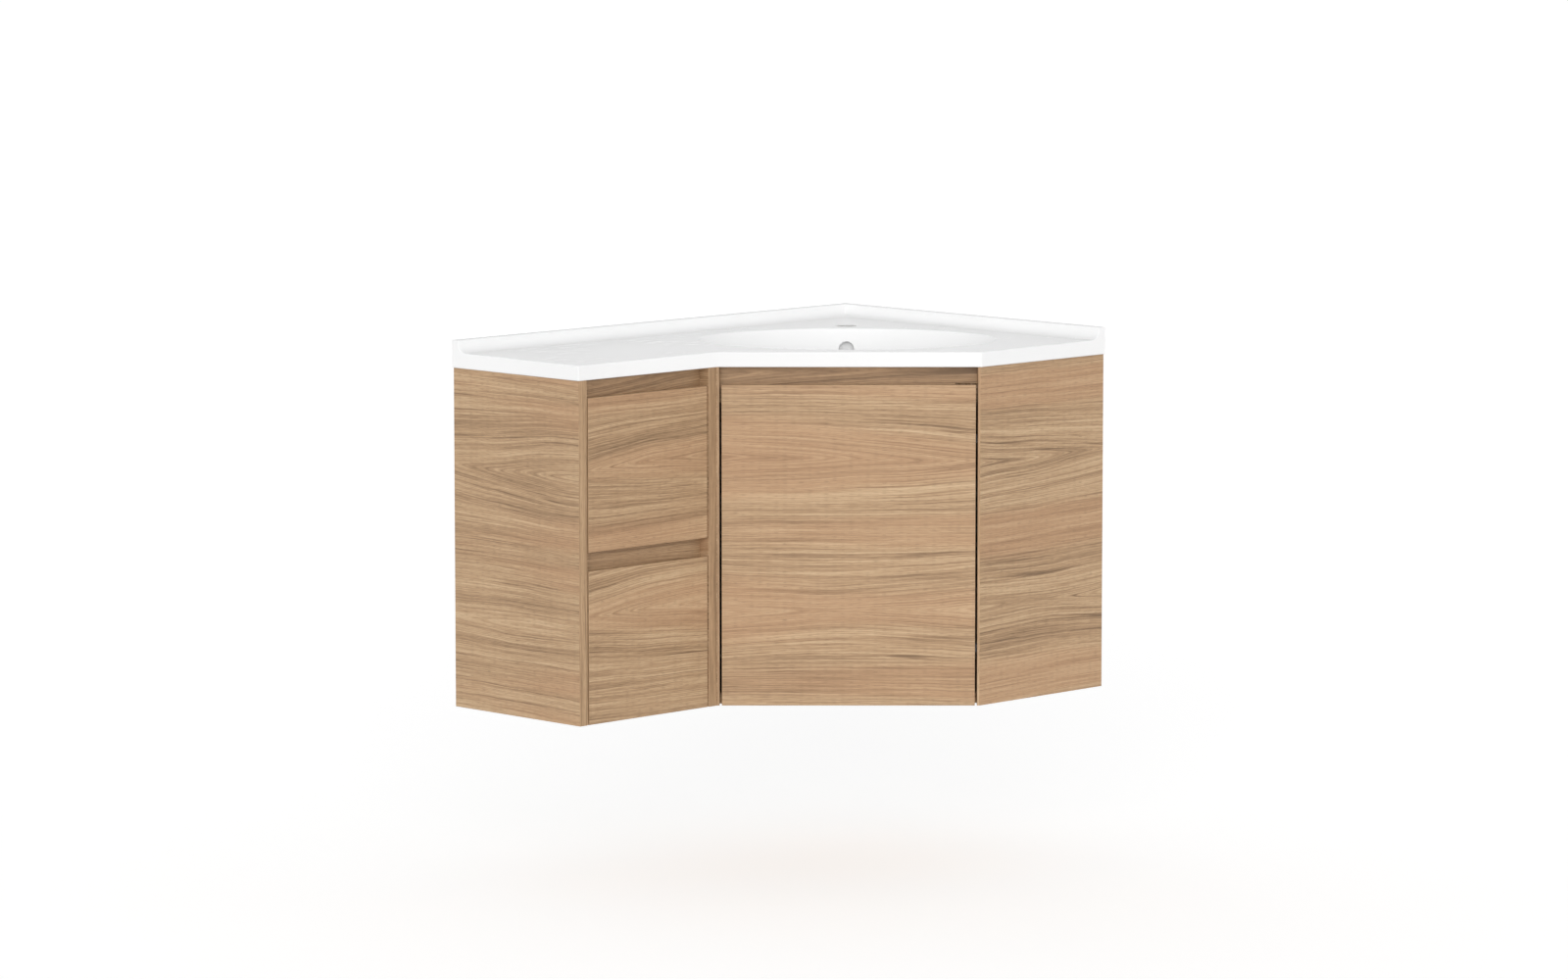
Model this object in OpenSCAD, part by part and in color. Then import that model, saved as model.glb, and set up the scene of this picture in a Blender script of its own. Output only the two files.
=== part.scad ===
// Corner vanity unit for a bathroom: a wing with two drawers, a corner cupboard with a
// diagonal door, and a one-piece top with an upstand and an oval bowl.
//
// Every sub-part is drawn in room coordinates: X runs from the room corner along the long
// wall, Y along the short wall, Z up from the underside. in_room() then turns the whole unit
// so that the long wall is at the back (+Y) and the origin is under the middle of the top.

/* [Cabinet] */
// Length of the cabinet along the long wall
cab_long = 897; // [840:1:1100]
// Length of the cabinet along the short wall
cab_short = 593.5; // [570:0.5:640]
// Depth of both ends, from the wall to the front
end_depth = 293; // [280:1:310]
// Height of the cabinet below the top
cab_h = 550; // [510:1:620]
// Thickness of the gables, bases, rails and fronts
board_t = 18; // [17:0.5:19]
// Thickness of the panels that close the back
back_t = 6; // [4:0.5:9]

/* [Fronts] */
// Height of the finger recess above the upper drawer and the door
pull_top = 29; // [24:1:36]
// Height of the finger recess between the two drawers
pull_mid = 30; // [24:1:36]
// How far the rails and bases stand behind the faces of the fronts
face_recess = 20; // [19:0.5:24]
// Gap between a drawer front and the gable beside it
drawer_gap = 2.5; // [2:0.1:4]
// Gap between the door and the mitred gables
door_gap = 3.4; // [3.1:0.1:5]
// Flat tip left on each mitred gable, beside the door gap
tip_land = 4.6; // [2:0.1:7]
// Bevel behind the top edge of a front, for the fingers
pull_bevel = 12; // [6:0.5:14]

/* [Rails] */
// Height of the pull rails under the top
top_rail_h = 60; // [50:1:70]
// How far the middle rail reaches behind each drawer front
rail_lap = 20; // [14:1:26]
// Height of the hanging rails
hang_rail_h = 100; // [80:1:120]
// Height of the lower wall rails
low_rail_h = 80; // [60:1:100]
// Diameter of the wall fixing holes
wall_hole_d = 7; // [5:0.5:9]
// Distance between the wall fixings in the corner rails
corner_hole_pitch = 400; // [300:1:440]
// Distance between the wall fixings behind the drawers
drawer_hole_pitch = 150; // [120:1:160]

/* [Drawers] */
// Space between a drawer box and the gable, taken up by the runner
runner_space = 13; // [12.7:0.1:15]
// Thickness of the drawer sides and backs
box_t = 15; // [12:0.5:16]
// Thickness of the drawer bottoms
bottom_t = 6; // [4:0.5:8]
// Clearance above and below each drawer box
box_clear = 9; // [6:0.5:14]
// Free space behind each drawer box
rear_clear = 11; // [6:0.5:20]
// Height of the fixed runner member
runner_h = 45; // [42:1:50]

/* [Door hinges] */
// Distance of the pivot from the hinge edge of the door
pivot_in = 14; // [13:0.5:16]
// Diameter of the hinge cups
cup_d = 35; // [35:0.5:36]
// Depth of the hinge cups in the door
cup_depth = 13.5; // [13:0.1:14]
// Distance of the cup centre from the hinge edge of the door
cup_in = 22; // [21:0.5:22.5]
// Height of the lower hinge above the underside
hinge_low = 90; // [80:1:130]
// Distance of the upper hinge below the top edge of the door
hinge_high = 90; // [80:1:130]
// Diameter of the hinge pins
pin_d = 3; // [2.5:0.1:3.2]

/* [Top and bowl] */
// How far the top reaches past the cabinet
overhang = 3; // [1:0.5:8]
// Thickness of the top
top_t = 25; // [20:0.5:30]
// Height of the upstand above the top
upstand_h = 20; // [15:0.5:40]
// Thickness of the upstand
upstand_t = 15; // [10:0.5:20]
// Radius of the cove at the foot of the upstand
cove_r = 16; // [6:0.5:19]
// Length of the bowl's rim, across the corner
bowl_long = 486; // [420:1:490]
// Width of the bowl's rim, from front to back
bowl_wide = 358; // [320:1:360]
// Distance from the door plane to the front of the bowl's rim
bowl_front = 30; // [30:1:44]
// Depth of the bowl
bowl_depth = 125; // [110:1:140]
// Thickness of the bowl's wall
bowl_wall = 8; // [6:0.5:9]
// How far the bowl leans back for each millimetre of depth
bowl_lean = 0.35; // [0.32:0.01:0.42]
// Diameter of the tap hole
tap_hole_d = 35; // [32:0.5:38]
// Distance from the bowl's rim to the centre of the tap hole
tap_back = 43; // [36:1:60]
// Diameter of the overflow hole
overflow_d = 26; // [20:0.5:28]
// Depth of the overflow hole's centre below the rim
overflow_low = 35; // [33:1:45]

/* [Waste] */
// Diameter of the waste flange
flange_d = 64; // [60:0.5:70]
// Outer diameter of the waste's thread
thread_d = 42; // [41:0.5:44]
// Outer diameter of the plain tail below the thread
tail_d = 40; // [38:0.5:40.5]
// Length of the plain tail
tail_len = 30; // [20:1:60]
// Diameter of the plug
plug_d = 56; // [52:0.5:60]

/* [Hidden] */
$fn = 48;

oak = [0.74, 0.60, 0.46];
lining = [0.90, 0.89, 0.87];
zinc = [0.72, 0.73, 0.75];
cast_white = [0.97, 0.97, 0.97];
chrome = [0.80, 0.81, 0.83];
rubber = [0.20, 0.20, 0.21];
birch = [0.85, 0.76, 0.60];

eps = 0.05;         // clearance of small metal parts in their holes
slip = 0.2;         // clearance of a board in its groove, and of the waste's seal and nut
back_lap = 20;      // how far the thin backs overlap the hanging rails
soft_gap = 0.3;     // air left between the closed door or plug and what it meets
past = 1;           // how far a cut runs past the face that it opens
far = 2000;         // longer than anything in the unit

// Outline of the cabinet in room coordinates
bay_left = cab_long - board_t;           // inner face of the left end panel
bay_right = cab_short + board_t;         // inner face of the drawer gable
corner_in = cab_short - board_t;         // inner faces of both mitred gables
front_edge = end_depth - face_recess;    // front of the drawer base and rails
door_span = (cab_short - end_depth) * sqrt(2);
door_w = door_span - 2 * (tip_land + door_gap);
door_h = cab_h - pull_top;
front_h = (cab_h - pull_top - pull_mid) / 2;
mid_rail_z = front_h - rail_lap;
mid_rail_h = pull_mid + 2 * rail_lap;
top_rail_z = cab_h - top_rail_h;

// Drawer boxes
box_back = board_t + back_t + rear_clear;
box_front = end_depth - board_t;
box_right = bay_right + runner_space;
box_left = bay_left - runner_space;
upper_box_z = mid_rail_z + mid_rail_h + box_clear;
box_h = top_rail_z - box_clear - upper_box_z;
lower_box_z = board_t + box_clear;
groove_z = 12;      // height of the bottom's groove in the sides
groove_in = 6;      // depth of that groove
runner_t = 1.4;     // thickness of the runner steel

// Hinge, in door coordinates
pivot_x = door_w / 2 - pivot_in;
pivot_y = board_t / 2;
cup_x = door_w / 2 - cup_in;
heel_r = norm([pivot_in, pivot_y]);      // reach of the door's corner round the pivot
hinge_heights = [hinge_low, door_h - hinge_high];
arm_t = 2.5;        // thickness of the hinge arm
plate_t = 2.5;      // thickness of the mounting plate
arm_lead = 25;      // angle at which the closed arm leaves the cup
notch_clear = 1.5;  // room left round the door's corner in the base and the pull rail
notch_over = 0.4;   // room left over the door's top edge in the pull rail

// Top and bowl, in door coordinates
rim_z = cab_h + top_t;
bowl_y = bowl_front + bowl_wide / 2;
waste_y = bowl_y + bowl_lean * bowl_depth;
tap_y = bowl_front + bowl_wide + tap_back;
floor_z = rim_z - bowl_depth;
// Half outline of the bowl: share of the rim's radius, and share of the depth
wall_foot = [0.84, 0.55];                // where the straight wall turns into the floor
floor_edge = [0.16, 0.97];               // where the round stretch meets the floor
turn_steps = 9;
bowl_outline = concat(
    [[0, 0], [1, 0], wall_foot],
    [for (i = [1 : turn_steps])
        let (a = 90 * i / turn_steps)
        [floor_edge[0] + (wall_foot[0] - floor_edge[0]) * cos(a),
         wall_foot[1] + (floor_edge[1] - wall_foot[1]) * sin(a)]],
    [[0, 1]]);

// Waste
seat_depth = 3;     // the flange lies this deep in the bowl's floor
seat_clear = 0.5;
waste_hole_d = thread_d + 4;
collar_h = 25;
seal_t = 4;
nut_h = 10;
collar_z = floor_z - bowl_wall - collar_h;
nut_z = collar_z - seal_t - nut_h;
thread_z = nut_z - 2;
tail_z = thread_z - tail_len;
stem_d = 9;
hub_low = 24;       // from the bowl's floor to the underside of the stem's guide
hub_z = floor_z - hub_low;

// Positions
connector_in = 75;  // from the front and from the wall to a joining screw
connector_spots = [for (z = [front_h + pull_mid / 2, cab_h - pull_top],
                        y = [connector_in, end_depth - connector_in]) [y, z]];
cam_in = 34;        // from the end of a board to the centre of its cam
cam_d = 15;
cam_depth = 12.5;
cam_slot_w = 1.6;
cam_slot_deep = 2;
bolt_d = 7;
bolt_thread_d = 5;
bolt_bite = 11;     // how far a cam bolt screws into a gable
base_cam_in = 60;   // from a base's front and from the wall to its cam bolts
base_cams_at = [base_cam_in, front_edge - base_cam_in];

// Cam fittings: [place on the joint, heading into the gable, roll about that heading]
drawer_base_cams = [for (y = base_cams_at, s = [0, 1])
    [[s == 0 ? bay_left : bay_right, y, board_t / 2], 180 * s, 0]];
function front_rail_cams(z) = [for (s = [0, 1])
    [[s == 0 ? bay_left : bay_right, front_edge - board_t / 2, z], 180 * s, s == 0 ? -90 : 90]];
function wall_rail_cams(z) = [for (s = [0, 1])
    [[s == 0 ? bay_left : bay_right, board_t / 2, z], 180 * s, s == 0 ? 90 : -90]];
function long_rail_cams(z) = [[[corner_in, board_t / 2, z], 0, 90]];
function short_rail_cams(z) =
    [[[board_t / 2, board_t, z], -90, 90], [[board_t / 2, corner_in, z], 90, -90]];
corner_base_cams = concat(
    [for (y = base_cams_at) [[corner_in, y, board_t / 2], 0, 0]],
    [for (x = base_cams_at) [[x, corner_in, board_t / 2], 90, 0]]);
top_rail_cam_z = cab_h - top_rail_h / 2;
mid_rail_cam_z = mid_rail_z + mid_rail_h / 2;
hang_cam_z = cab_h - hang_rail_h / 2;
low_cam_z = board_t + low_rail_h / 2;
all_cams = concat(drawer_base_cams, corner_base_cams,
    front_rail_cams(top_rail_cam_z), front_rail_cams(mid_rail_cam_z),
    wall_rail_cams(hang_cam_z), wall_rail_cams(low_cam_z),
    long_rail_cams(hang_cam_z), long_rail_cams(low_cam_z),
    short_rail_cams(hang_cam_z), short_rail_cams(low_cam_z));

// ---- Placing helpers ----

module in_room() {
    translate([(cab_long + overhang) / 2, (cab_short + overhang) / 2, 0])
        rotate([0, 0, 180]) children();
}

// Door coordinates: X to the right across the door, Y inwards from its face
module at_door() {
    translate([(cab_short + end_depth) / 2, (cab_short + end_depth) / 2, 0])
        rotate([0, 0, 135]) children();
}

module board(low, high) {
    translate(low) cube(high - low);
}

module at_cam(site) {
    translate(site[0]) rotate([0, 0, site[1]]) rotate([site[2], 0, 0]) children();
}

// ---- Joinery ----

module cam_pockets(sites) {
    for (s = sites) at_cam(s) {
        translate([-cam_in, 0, -board_t / 2 - past])
            cylinder(d = cam_d + 2 * eps, h = cam_depth + past + eps);
        translate([-cam_in, 0, 0]) rotate([0, 90, 0])
            cylinder(d = bolt_d + 2 * eps, h = cam_in + past);
    }
}

module bolt_holes(sites) {
    for (s = sites) at_cam(s)
        translate([-past, 0, 0]) rotate([0, 90, 0])
            cylinder(d = bolt_thread_d + 2 * eps, h = bolt_bite + past + eps);
}

// Cross slot for a screwdriver, cut upwards from z = 0
module cross_slot(length, width, deep) {
    for (a = [0, 90])
        rotate(a) translate([-length / 2, -width / 2, -past]) cube([length, width, deep + past]);
}

module cam_locks() {
    color(zinc) in_room() for (s = all_cams) at_cam(s)
        translate([-cam_in, 0, -board_t / 2]) difference() {
            cylinder(d = cam_d, h = cam_depth);
            cross_slot(cam_d / 2, cam_slot_w, cam_slot_deep);
        }
}

module cam_bolts() {
    head_x = cam_d / 2 + 2 * eps - cam_in;
    color(zinc) in_room() for (s = all_cams) at_cam(s) {
        translate([head_x, 0, 0]) rotate([0, 90, 0]) cylinder(d = bolt_d, h = -head_x);
        rotate([0, 90, 0]) cylinder(d = bolt_thread_d, h = bolt_bite);
    }
}

sleeve_d = 8;
sleeve_wall_end = 4;    // solid end of a joining sleeve, and its distance from the far face
connector_head_d = 16;
connector_head_t = 2.2;
hex_d = 5;
hex_floor = 0.8;

module at_connectors() {
    for (p = connector_spots)
        translate([cab_short, p[0], p[1]]) rotate([0, 90, 0]) children();
}

module connector_holes() {
    at_connectors() cylinder(d = sleeve_d + 2 * eps, h = 3 * board_t, center = true);
}

module joining_sleeves() {
    color(zinc) in_room() at_connectors() difference() {
        union() {
            translate([0, 0, -board_t - connector_head_t])
                cylinder(d = connector_head_d, h = connector_head_t);
            translate([0, 0, -board_t]) cylinder(d = sleeve_d, h = 2 * board_t - sleeve_wall_end);
        }
        translate([0, 0, sleeve_wall_end - board_t])
            cylinder(d = bolt_thread_d + 2 * eps, h = 2 * board_t);
    }
}

module joining_screws() {
    color(zinc) in_room() at_connectors() {
        translate([0, 0, board_t]) difference() {
            cylinder(d = connector_head_d, h = connector_head_t);
            translate([0, 0, hex_floor]) cylinder(d = hex_d, h = connector_head_t, $fn = 6);
        }
        translate([0, 0, 2 * sleeve_wall_end - board_t])
            cylinder(d = bolt_thread_d, h = 2 * (board_t - sleeve_wall_end));
    }
}

// ---- Gables ----

module mitred_gable() {
    difference() {
        board([corner_in, 0, 0], [cab_short, end_depth + board_t, cab_h]);
        at_door() {
            translate([-far / 2, -far, -past]) cube([far, far, cab_h + 2 * past]);
            half_slot = door_w / 2 + door_gap;
            translate([-half_slot, -past, -past])
                cube([2 * half_slot, 4 * board_t, cab_h + 2 * past]);
        }
    }
}

module left_end_panel() {
    color(oak) in_room() difference() {
        board([bay_left, 0, 0], [cab_long, end_depth, cab_h]);
        bolt_holes(all_cams);
    }
}

module drawer_gable() {
    color(oak) in_room() difference() {
        board([cab_short, 0, 0], [bay_right, end_depth, cab_h]);
        bolt_holes(all_cams);
        connector_holes();
    }
}

module corner_gable() {
    color(oak) in_room() difference() {
        mitred_gable();
        bolt_holes(all_cams);
        connector_holes();
    }
}

module right_end_panel() {
    color(oak) in_room() difference() {
        mirror([1, -1, 0]) mitred_gable();
        bolt_holes(all_cams);
        at_hinges() plate_screw_spots()
            cylinder(d = plate_screw_d + 2 * eps, h = plate_screw_end + eps);
    }
}

// ---- Bases, back and rails ----

// Room for the door's corner as it turns inwards round the pivot
module heel_notch(low, high) {
    reach = heel_r + notch_clear;
    at_door() translate([pivot_x - reach, 0, low])
        cube([far, pivot_y + reach, high - low]);
}

module corner_plan(setback) {
    difference() {
        square(corner_in);
        translate([(cab_short + end_depth) / 2, (cab_short + end_depth) / 2])
            rotate(135) translate([-far / 2, setback - far]) square(far);
    }
}

module drawer_bay_base() {
    color(oak) in_room() difference() {
        board([bay_right, 0, 0], [bay_left, front_edge, board_t]);
        cam_pockets(drawer_base_cams);
    }
}

module corner_base() {
    color(oak) in_room() difference() {
        linear_extrude(board_t) corner_plan(face_recess);
        heel_notch(-past, board_t + past);
        cam_pockets(corner_base_cams);
    }
}

// The thin backs end a little above the hanging rails' lower edges, below the wall screws
module drawer_bay_back() {
    color(lining) in_room()
        board([bay_right, board_t, board_t],
              [bay_left, board_t + back_t, cab_h - hang_rail_h + back_lap]);
}

module corner_back_long() {
    color(lining) in_room()
        board([board_t, board_t, board_t],
              [corner_in, board_t + back_t, cab_h - hang_rail_h + back_lap]);
}

module corner_back_short() {
    color(lining) in_room()
        board([board_t, board_t + back_t, board_t],
              [board_t + back_t, corner_in, cab_h - hang_rail_h + back_lap]);
}

module front_rail(z, h) {
    difference() {
        board([bay_right, front_edge - board_t, z], [bay_left, front_edge, z + h]);
        cam_pockets(front_rail_cams(z + h / 2));
    }
}

module drawer_top_rail() {
    color(oak) in_room() front_rail(top_rail_z, top_rail_h);
}

module drawer_mid_rail() {
    color(oak) in_room() front_rail(mid_rail_z, mid_rail_h);
}

module door_pull_rail() {
    color(oak) in_room() difference() {
        translate([0, 0, top_rail_z]) linear_extrude(top_rail_h) difference() {
            corner_plan(face_recess);
            corner_plan(face_recess + board_t);
        }
        heel_notch(top_rail_z - past, door_h + notch_over);
    }
}

module wall_holes(x, pitch) {
    for (s = [-1, 1])
        translate([x + s * pitch / 2, -past, hang_cam_z]) rotate([-90, 0, 0])
            cylinder(d = wall_hole_d, h = board_t + 2 * past);
}

module hanging_rail_drawers() {
    color(lining) in_room() difference() {
        board([bay_right, 0, cab_h - hang_rail_h], [bay_left, board_t, cab_h]);
        wall_holes((bay_left + bay_right) / 2, drawer_hole_pitch);
        cam_pockets(wall_rail_cams(hang_cam_z));
    }
}

module hanging_rail_long() {
    color(lining) in_room() difference() {
        board([0, 0, cab_h - hang_rail_h], [corner_in, board_t, cab_h]);
        wall_holes(corner_in / 2, corner_hole_pitch);
        cam_pockets(long_rail_cams(hang_cam_z));
        bolt_holes(short_rail_cams(hang_cam_z));
    }
}

module hanging_rail_short() {
    color(lining) in_room() difference() {
        board([0, board_t, cab_h - hang_rail_h], [board_t, corner_in, cab_h]);
        mirror([1, -1, 0]) wall_holes(corner_in / 2, corner_hole_pitch);
        cam_pockets(short_rail_cams(hang_cam_z));
    }
}

module lower_rail_drawers() {
    color(lining) in_room() difference() {
        board([bay_right, 0, board_t], [bay_left, board_t, board_t + low_rail_h]);
        cam_pockets(wall_rail_cams(low_cam_z));
    }
}

module lower_rail_long() {
    color(lining) in_room() difference() {
        board([0, 0, board_t], [corner_in, board_t, board_t + low_rail_h]);
        cam_pockets(long_rail_cams(low_cam_z));
        bolt_holes(short_rail_cams(low_cam_z));
    }
}

module lower_rail_short() {
    color(lining) in_room() difference() {
        board([0, board_t, board_t], [board_t, corner_in, board_t + low_rail_h]);
        cam_pockets(short_rail_cams(low_cam_z));
    }
}

bracket_t = 2;
bracket_leg = 26;

// Angle brackets that hold the ends of the door's pull rail to the mitred gables
module pull_rail_brackets() {
    rail_back = face_recess + board_t;
    // Across the door, from its middle to where a gable's inner face meets the rail's back
    meet = (corner_in - (cab_short + end_depth) / 2) * sqrt(2) + rail_back;
    color(zinc) in_room() at_door() for (s = [0, 1])
        mirror([s, 0, 0]) translate([0, 0, cab_h - top_rail_h / 2 - bracket_leg / 2])
            linear_extrude(bracket_leg) {
                translate([meet - bracket_leg, rail_back]) square([bracket_leg, bracket_t]);
                difference() {
                    translate([meet, rail_back]) rotate(45)
                        translate([-bracket_t, 0]) square([bracket_leg, bracket_t]);
                    translate([meet - 2 * bracket_leg, rail_back - bracket_leg])
                        square([4 * bracket_leg, bracket_leg]);
                }
            }
}

// ---- Strip helpers for bent steel ----

module strap(points, t, h) {
    translate([0, 0, -h / 2]) linear_extrude(h) for (i = [0 : len(points) - 1]) {
        translate(points[i]) circle(d = t);
        if (i > 0) {
            step = points[i] - points[i - 1];
            translate(points[i - 1]) rotate(atan2(step[1], step[0]))
                translate([0, -t / 2]) square([norm(step), t]);
        }
    }
}

// ---- Door and hinges ----

// Front with a bevel behind its top edge, X across, Y inwards from the face
module front_board(w, h) {
    translate([-w / 2, 0, 0]) difference() {
        cube([w, board_t, h]);
        translate([-past, board_t - pull_bevel, h]) rotate([-45, 0, 0])
            cube([w + 2 * past, 2 * board_t, 2 * board_t]);
    }
}

module at_hinges() {
    for (z = hinge_heights) at_door() translate([pivot_x, pivot_y, z]) children();
}

module at_cups() {
    for (z = hinge_heights)
        at_door() translate([cup_x, board_t, z]) rotate([90, 0, 0]) children();
}

cup_screw_spread = 22.5;
cup_screw_back = 9.5;
cup_screw_d = 3.5;
cup_screw_bite = 10;
cup_flange_t = 1;
cup_flange_w = 2;   // how far the flange reaches past the cup all round
cup_wall = 0.8;
ear_w = 12;         // width of the two ears that take the cup's screws
pan_d = 7;          // heads of the hinge's screws
pan_t = 1.8;
pan_slot = [5, 1, 0.9];     // length, width and depth of their cross slots

module pan_head() {
    translate([0, 0, -pan_t]) difference() {
        cylinder(d = pan_d, h = pan_t);
        cross_slot(pan_slot[0], pan_slot[1], pan_slot[2]);
    }
}

module cup_screw_spots() {
    for (s = [-1, 1]) translate([-cup_screw_back, s * cup_screw_spread, 0]) children();
}

module door_panel() {
    color(oak) in_room() difference() {
        at_door() front_board(door_w, door_h);
        at_cups() {
            translate([0, 0, -past]) cylinder(d = cup_d + 2 * eps, h = cup_depth + past + eps);
            cup_screw_spots() translate([0, 0, -past])
                cylinder(d = cup_screw_d + 2 * eps, h = cup_screw_bite + past + eps);
        }
    }
}

module hinge_cups() {
    ear = cup_screw_spread + ear_w / 2;
    color(zinc) in_room() difference() {
        at_cups() difference() {
            union() {
                cylinder(d = cup_d, h = cup_depth);
                translate([0, 0, -cup_flange_t])
                    cylinder(d = cup_d + 2 * cup_flange_w, h = cup_flange_t);
                translate([-cup_screw_back - ear_w / 2, -ear, -cup_flange_t])
                    cube([ear_w, 2 * ear, cup_flange_t]);
            }
            translate([0, 0, -2 * cup_flange_t])
                cylinder(d = cup_d - 2 * cup_wall, h = cup_depth + 2 * cup_flange_t - cup_wall);
            cup_screw_spots() cylinder(d = cup_screw_d + 2 * eps, h = 4 * cup_flange_t, center = true);
        }
        at_hinges() cylinder(d = pin_d, h = cup_d, center = true);
    }
}

// Each pin lies across its cup and is held in the cup's wall at both ends
module hinge_pins() {
    reach = cup_in - pivot_in + pin_d / 2;
    chord = 2 * sqrt(pow(cup_d / 2 - cup_wall / 2, 2) - pow(reach, 2));
    color(zinc) in_room() at_hinges() cylinder(d = pin_d, h = chord, center = true);
}

module cup_screws() {
    color(zinc) in_room() at_cups() cup_screw_spots() {
        translate([0, 0, -cup_flange_t]) {
            pan_head();
            cylinder(d = cup_screw_d, h = cup_flange_t + cup_screw_bite);
        }
    }
}

// Where the right end panel's inner face lies, measured as X minus Y from the pivot
seat = (corner_in - (cab_short + end_depth) / 2) * sqrt(2) - pivot_x + pivot_y;
arm_line = seat - (plate_t + arm_t / 2) * sqrt(2);
arm_mouth = [-(board_t - pivot_y) / tan(arm_lead), board_t - pivot_y];
neck_clear = 3.15;  // between the turning heel of the door and the arm
arm_neck_y = heel_r + neck_clear + arm_t / 2;
arm_leg = 45;       // length of the arm along the panel
arm_path = [
    [0, 0],
    arm_mouth,
    [arm_mouth[0], arm_neck_y],
    [arm_neck_y + arm_line, arm_neck_y],
    [arm_neck_y + arm_line, arm_neck_y] + arm_leg * [1, 1] / sqrt(2)
];
eye_wall = 1.1;
arm_narrow = 8;     // height of the arm inside the cup
arm_wide = 14;      // height of the arm outside it

module hinge_arms() {
    color(zinc) in_room() at_hinges() difference() {
        union() {
            cylinder(d = pin_d + 2 * eye_wall, h = arm_narrow, center = true);
            strap([for (i = [0 : 2]) arm_path[i]], arm_t, arm_narrow);
            strap([for (i = [2 : 4]) arm_path[i]], arm_t, arm_wide);
        }
        cylinder(d = pin_d + 2 * eps, h = arm_wide, center = true);
        arm_screw_spots() cylinder(d = arm_screw_d + 2 * eps, h = 3 * arm_t, center = true);
    }
}

arm_screw_d = 4;
arm_screws_at = [12, 36];       // along the leg, from its bend
plate_screw_d = 3.5;
plate_screw_bite = 12;
plate_screw_end = arm_t / 2 + plate_t + plate_screw_bite;
plate_at = 24;                  // the plate's wings, along the leg
plate_wing_w = 12;
plate_half = 25;
plate_screw_spread = 16;
plate_lead = 2;                 // how far the plate reaches past the arm's bend

// Along the arm's leg: X from its bend, Y through its thickness, away from the panel
module on_leg() {
    translate(concat(arm_path[3], [0])) rotate([0, 0, 45]) children();
}

module arm_screw_spots() {
    for (d = arm_screws_at) on_leg() translate([d, 0, 0]) rotate([90, 0, 0]) children();
}

module plate_screw_spots() {
    for (s = [-1, 1])
        on_leg() translate([plate_at, 0, s * plate_screw_spread]) rotate([90, 0, 0]) children();
}

module hinge_plates() {
    color(zinc) in_room() at_hinges() difference() {
        union() {
            on_leg() translate([-plate_lead, -arm_t / 2 - plate_t, -arm_wide / 2])
                cube([arm_leg + plate_lead, plate_t, arm_wide]);
            on_leg() translate([plate_at - plate_wing_w / 2, -arm_t / 2 - plate_t, -plate_half])
                cube([plate_wing_w, plate_t, 2 * plate_half]);
        }
        plate_screw_spots() cylinder(d = plate_screw_d + 2 * eps, h = plate_screw_end);
        arm_screw_spots() cylinder(d = arm_screw_d + 2 * eps, h = plate_screw_end);
    }
}

module hinge_fixing_screws() {
    color(zinc) in_room() at_hinges() {
        arm_screw_spots() translate([0, 0, -arm_t / 2]) {
            pan_head();
            cylinder(d = arm_screw_d, h = arm_t + plate_t);
        }
        plate_screw_spots() translate([0, 0, arm_t / 2]) {
            pan_head();
            cylinder(d = plate_screw_d, h = plate_t + plate_screw_bite);
        }
    }
}

buffer_d = 8;
buffer_in = 12;     // from the door's free edge

// Soft dots on the door's back, beside its free edge; they meet the base and the pull rail
module door_buffers() {
    color(rubber) in_room() at_door()
        for (z = [board_t / 2, (top_rail_z + door_h - pull_bevel) / 2])
            translate([-door_w / 2 + buffer_in, board_t, z]) rotate([-90, 0, 0])
                cylinder(d = buffer_d, h = face_recess - board_t - soft_gap);
}

// ---- Drawers ----

// Shapes of one drawer; box_z is the underside of its box
module drawer_front(front_z, box_z) {
    w = bay_left - bay_right - 2 * drawer_gap;
    difference() {
        translate([(bay_left + bay_right) / 2, end_depth, front_z]) rotate([0, 0, 180])
            front_board(w, front_h);
        bottom_groove(box_z, box_front + groove_in);
        dowel_spots(box_z) cylinder(d = dowel_d, h = dowel_front + eps);
    }
}

dowel_d = 8;
dowel_front = 10;   // length of a dowel inside the front
dowel_side = 20;    // and inside the side
dowels_at = [0.25, 0.8];    // shares of the box's height

module dowel_spots(box_z) {
    for (x = [box_right + box_t / 2, box_left - box_t / 2], share = dowels_at)
        translate([x, box_front, box_z + share * box_h]) rotate([-90, 0, 0]) children();
}

// Room for the bottom in the sides and the front, from behind the box to the given place
module bottom_groove(box_z, front_end) {
    board([box_right + box_t - groove_in, box_back - past, box_z + groove_z],
          [box_left - box_t + groove_in, front_end, box_z + groove_z + bottom_t + slip]);
}

// A side board between two places across the bay
module drawer_side(box_z, low, high) {
    difference() {
        board([low, box_back, box_z], [high, box_front, box_z + box_h]);
        bottom_groove(box_z, box_front + past);
        dowel_spots(box_z) mirror([0, 0, 1]) cylinder(d = dowel_d, h = dowel_side + eps);
    }
}

module left_side(box_z) {
    drawer_side(box_z, box_left - box_t, box_left);
}

module right_side(box_z) {
    drawer_side(box_z, box_right, box_right + box_t);
}

module drawer_back(box_z) {
    board([box_right + box_t, box_back, box_z + groove_z + bottom_t + slip],
          [box_left - box_t, box_back + box_t, box_z + box_h]);
}

module drawer_bottom(box_z) {
    board([box_right + box_t - groove_in + slip, box_back, box_z + groove_z],
          [box_left - box_t + groove_in - slip, box_front + groove_in - slip,
           box_z + groove_z + bottom_t]);
}

module drawer_dowels(box_z) {
    dowel_spots(box_z) translate([0, 0, -dowel_side])
        cylinder(d = dowel_d, h = dowel_side + dowel_front);
}

// One runner member as a channel: its web starts at x, and its lips end at lip_end
module channel(x, lip_end, half_h) {
    board([x, box_back, -half_h], [x + runner_t, front_edge, half_h]);
    for (z = [-half_h, half_h - runner_t])
        board([min(x, lip_end), box_back, z], [max(x + runner_t, lip_end), front_edge, z + runner_t]);
}

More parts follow.
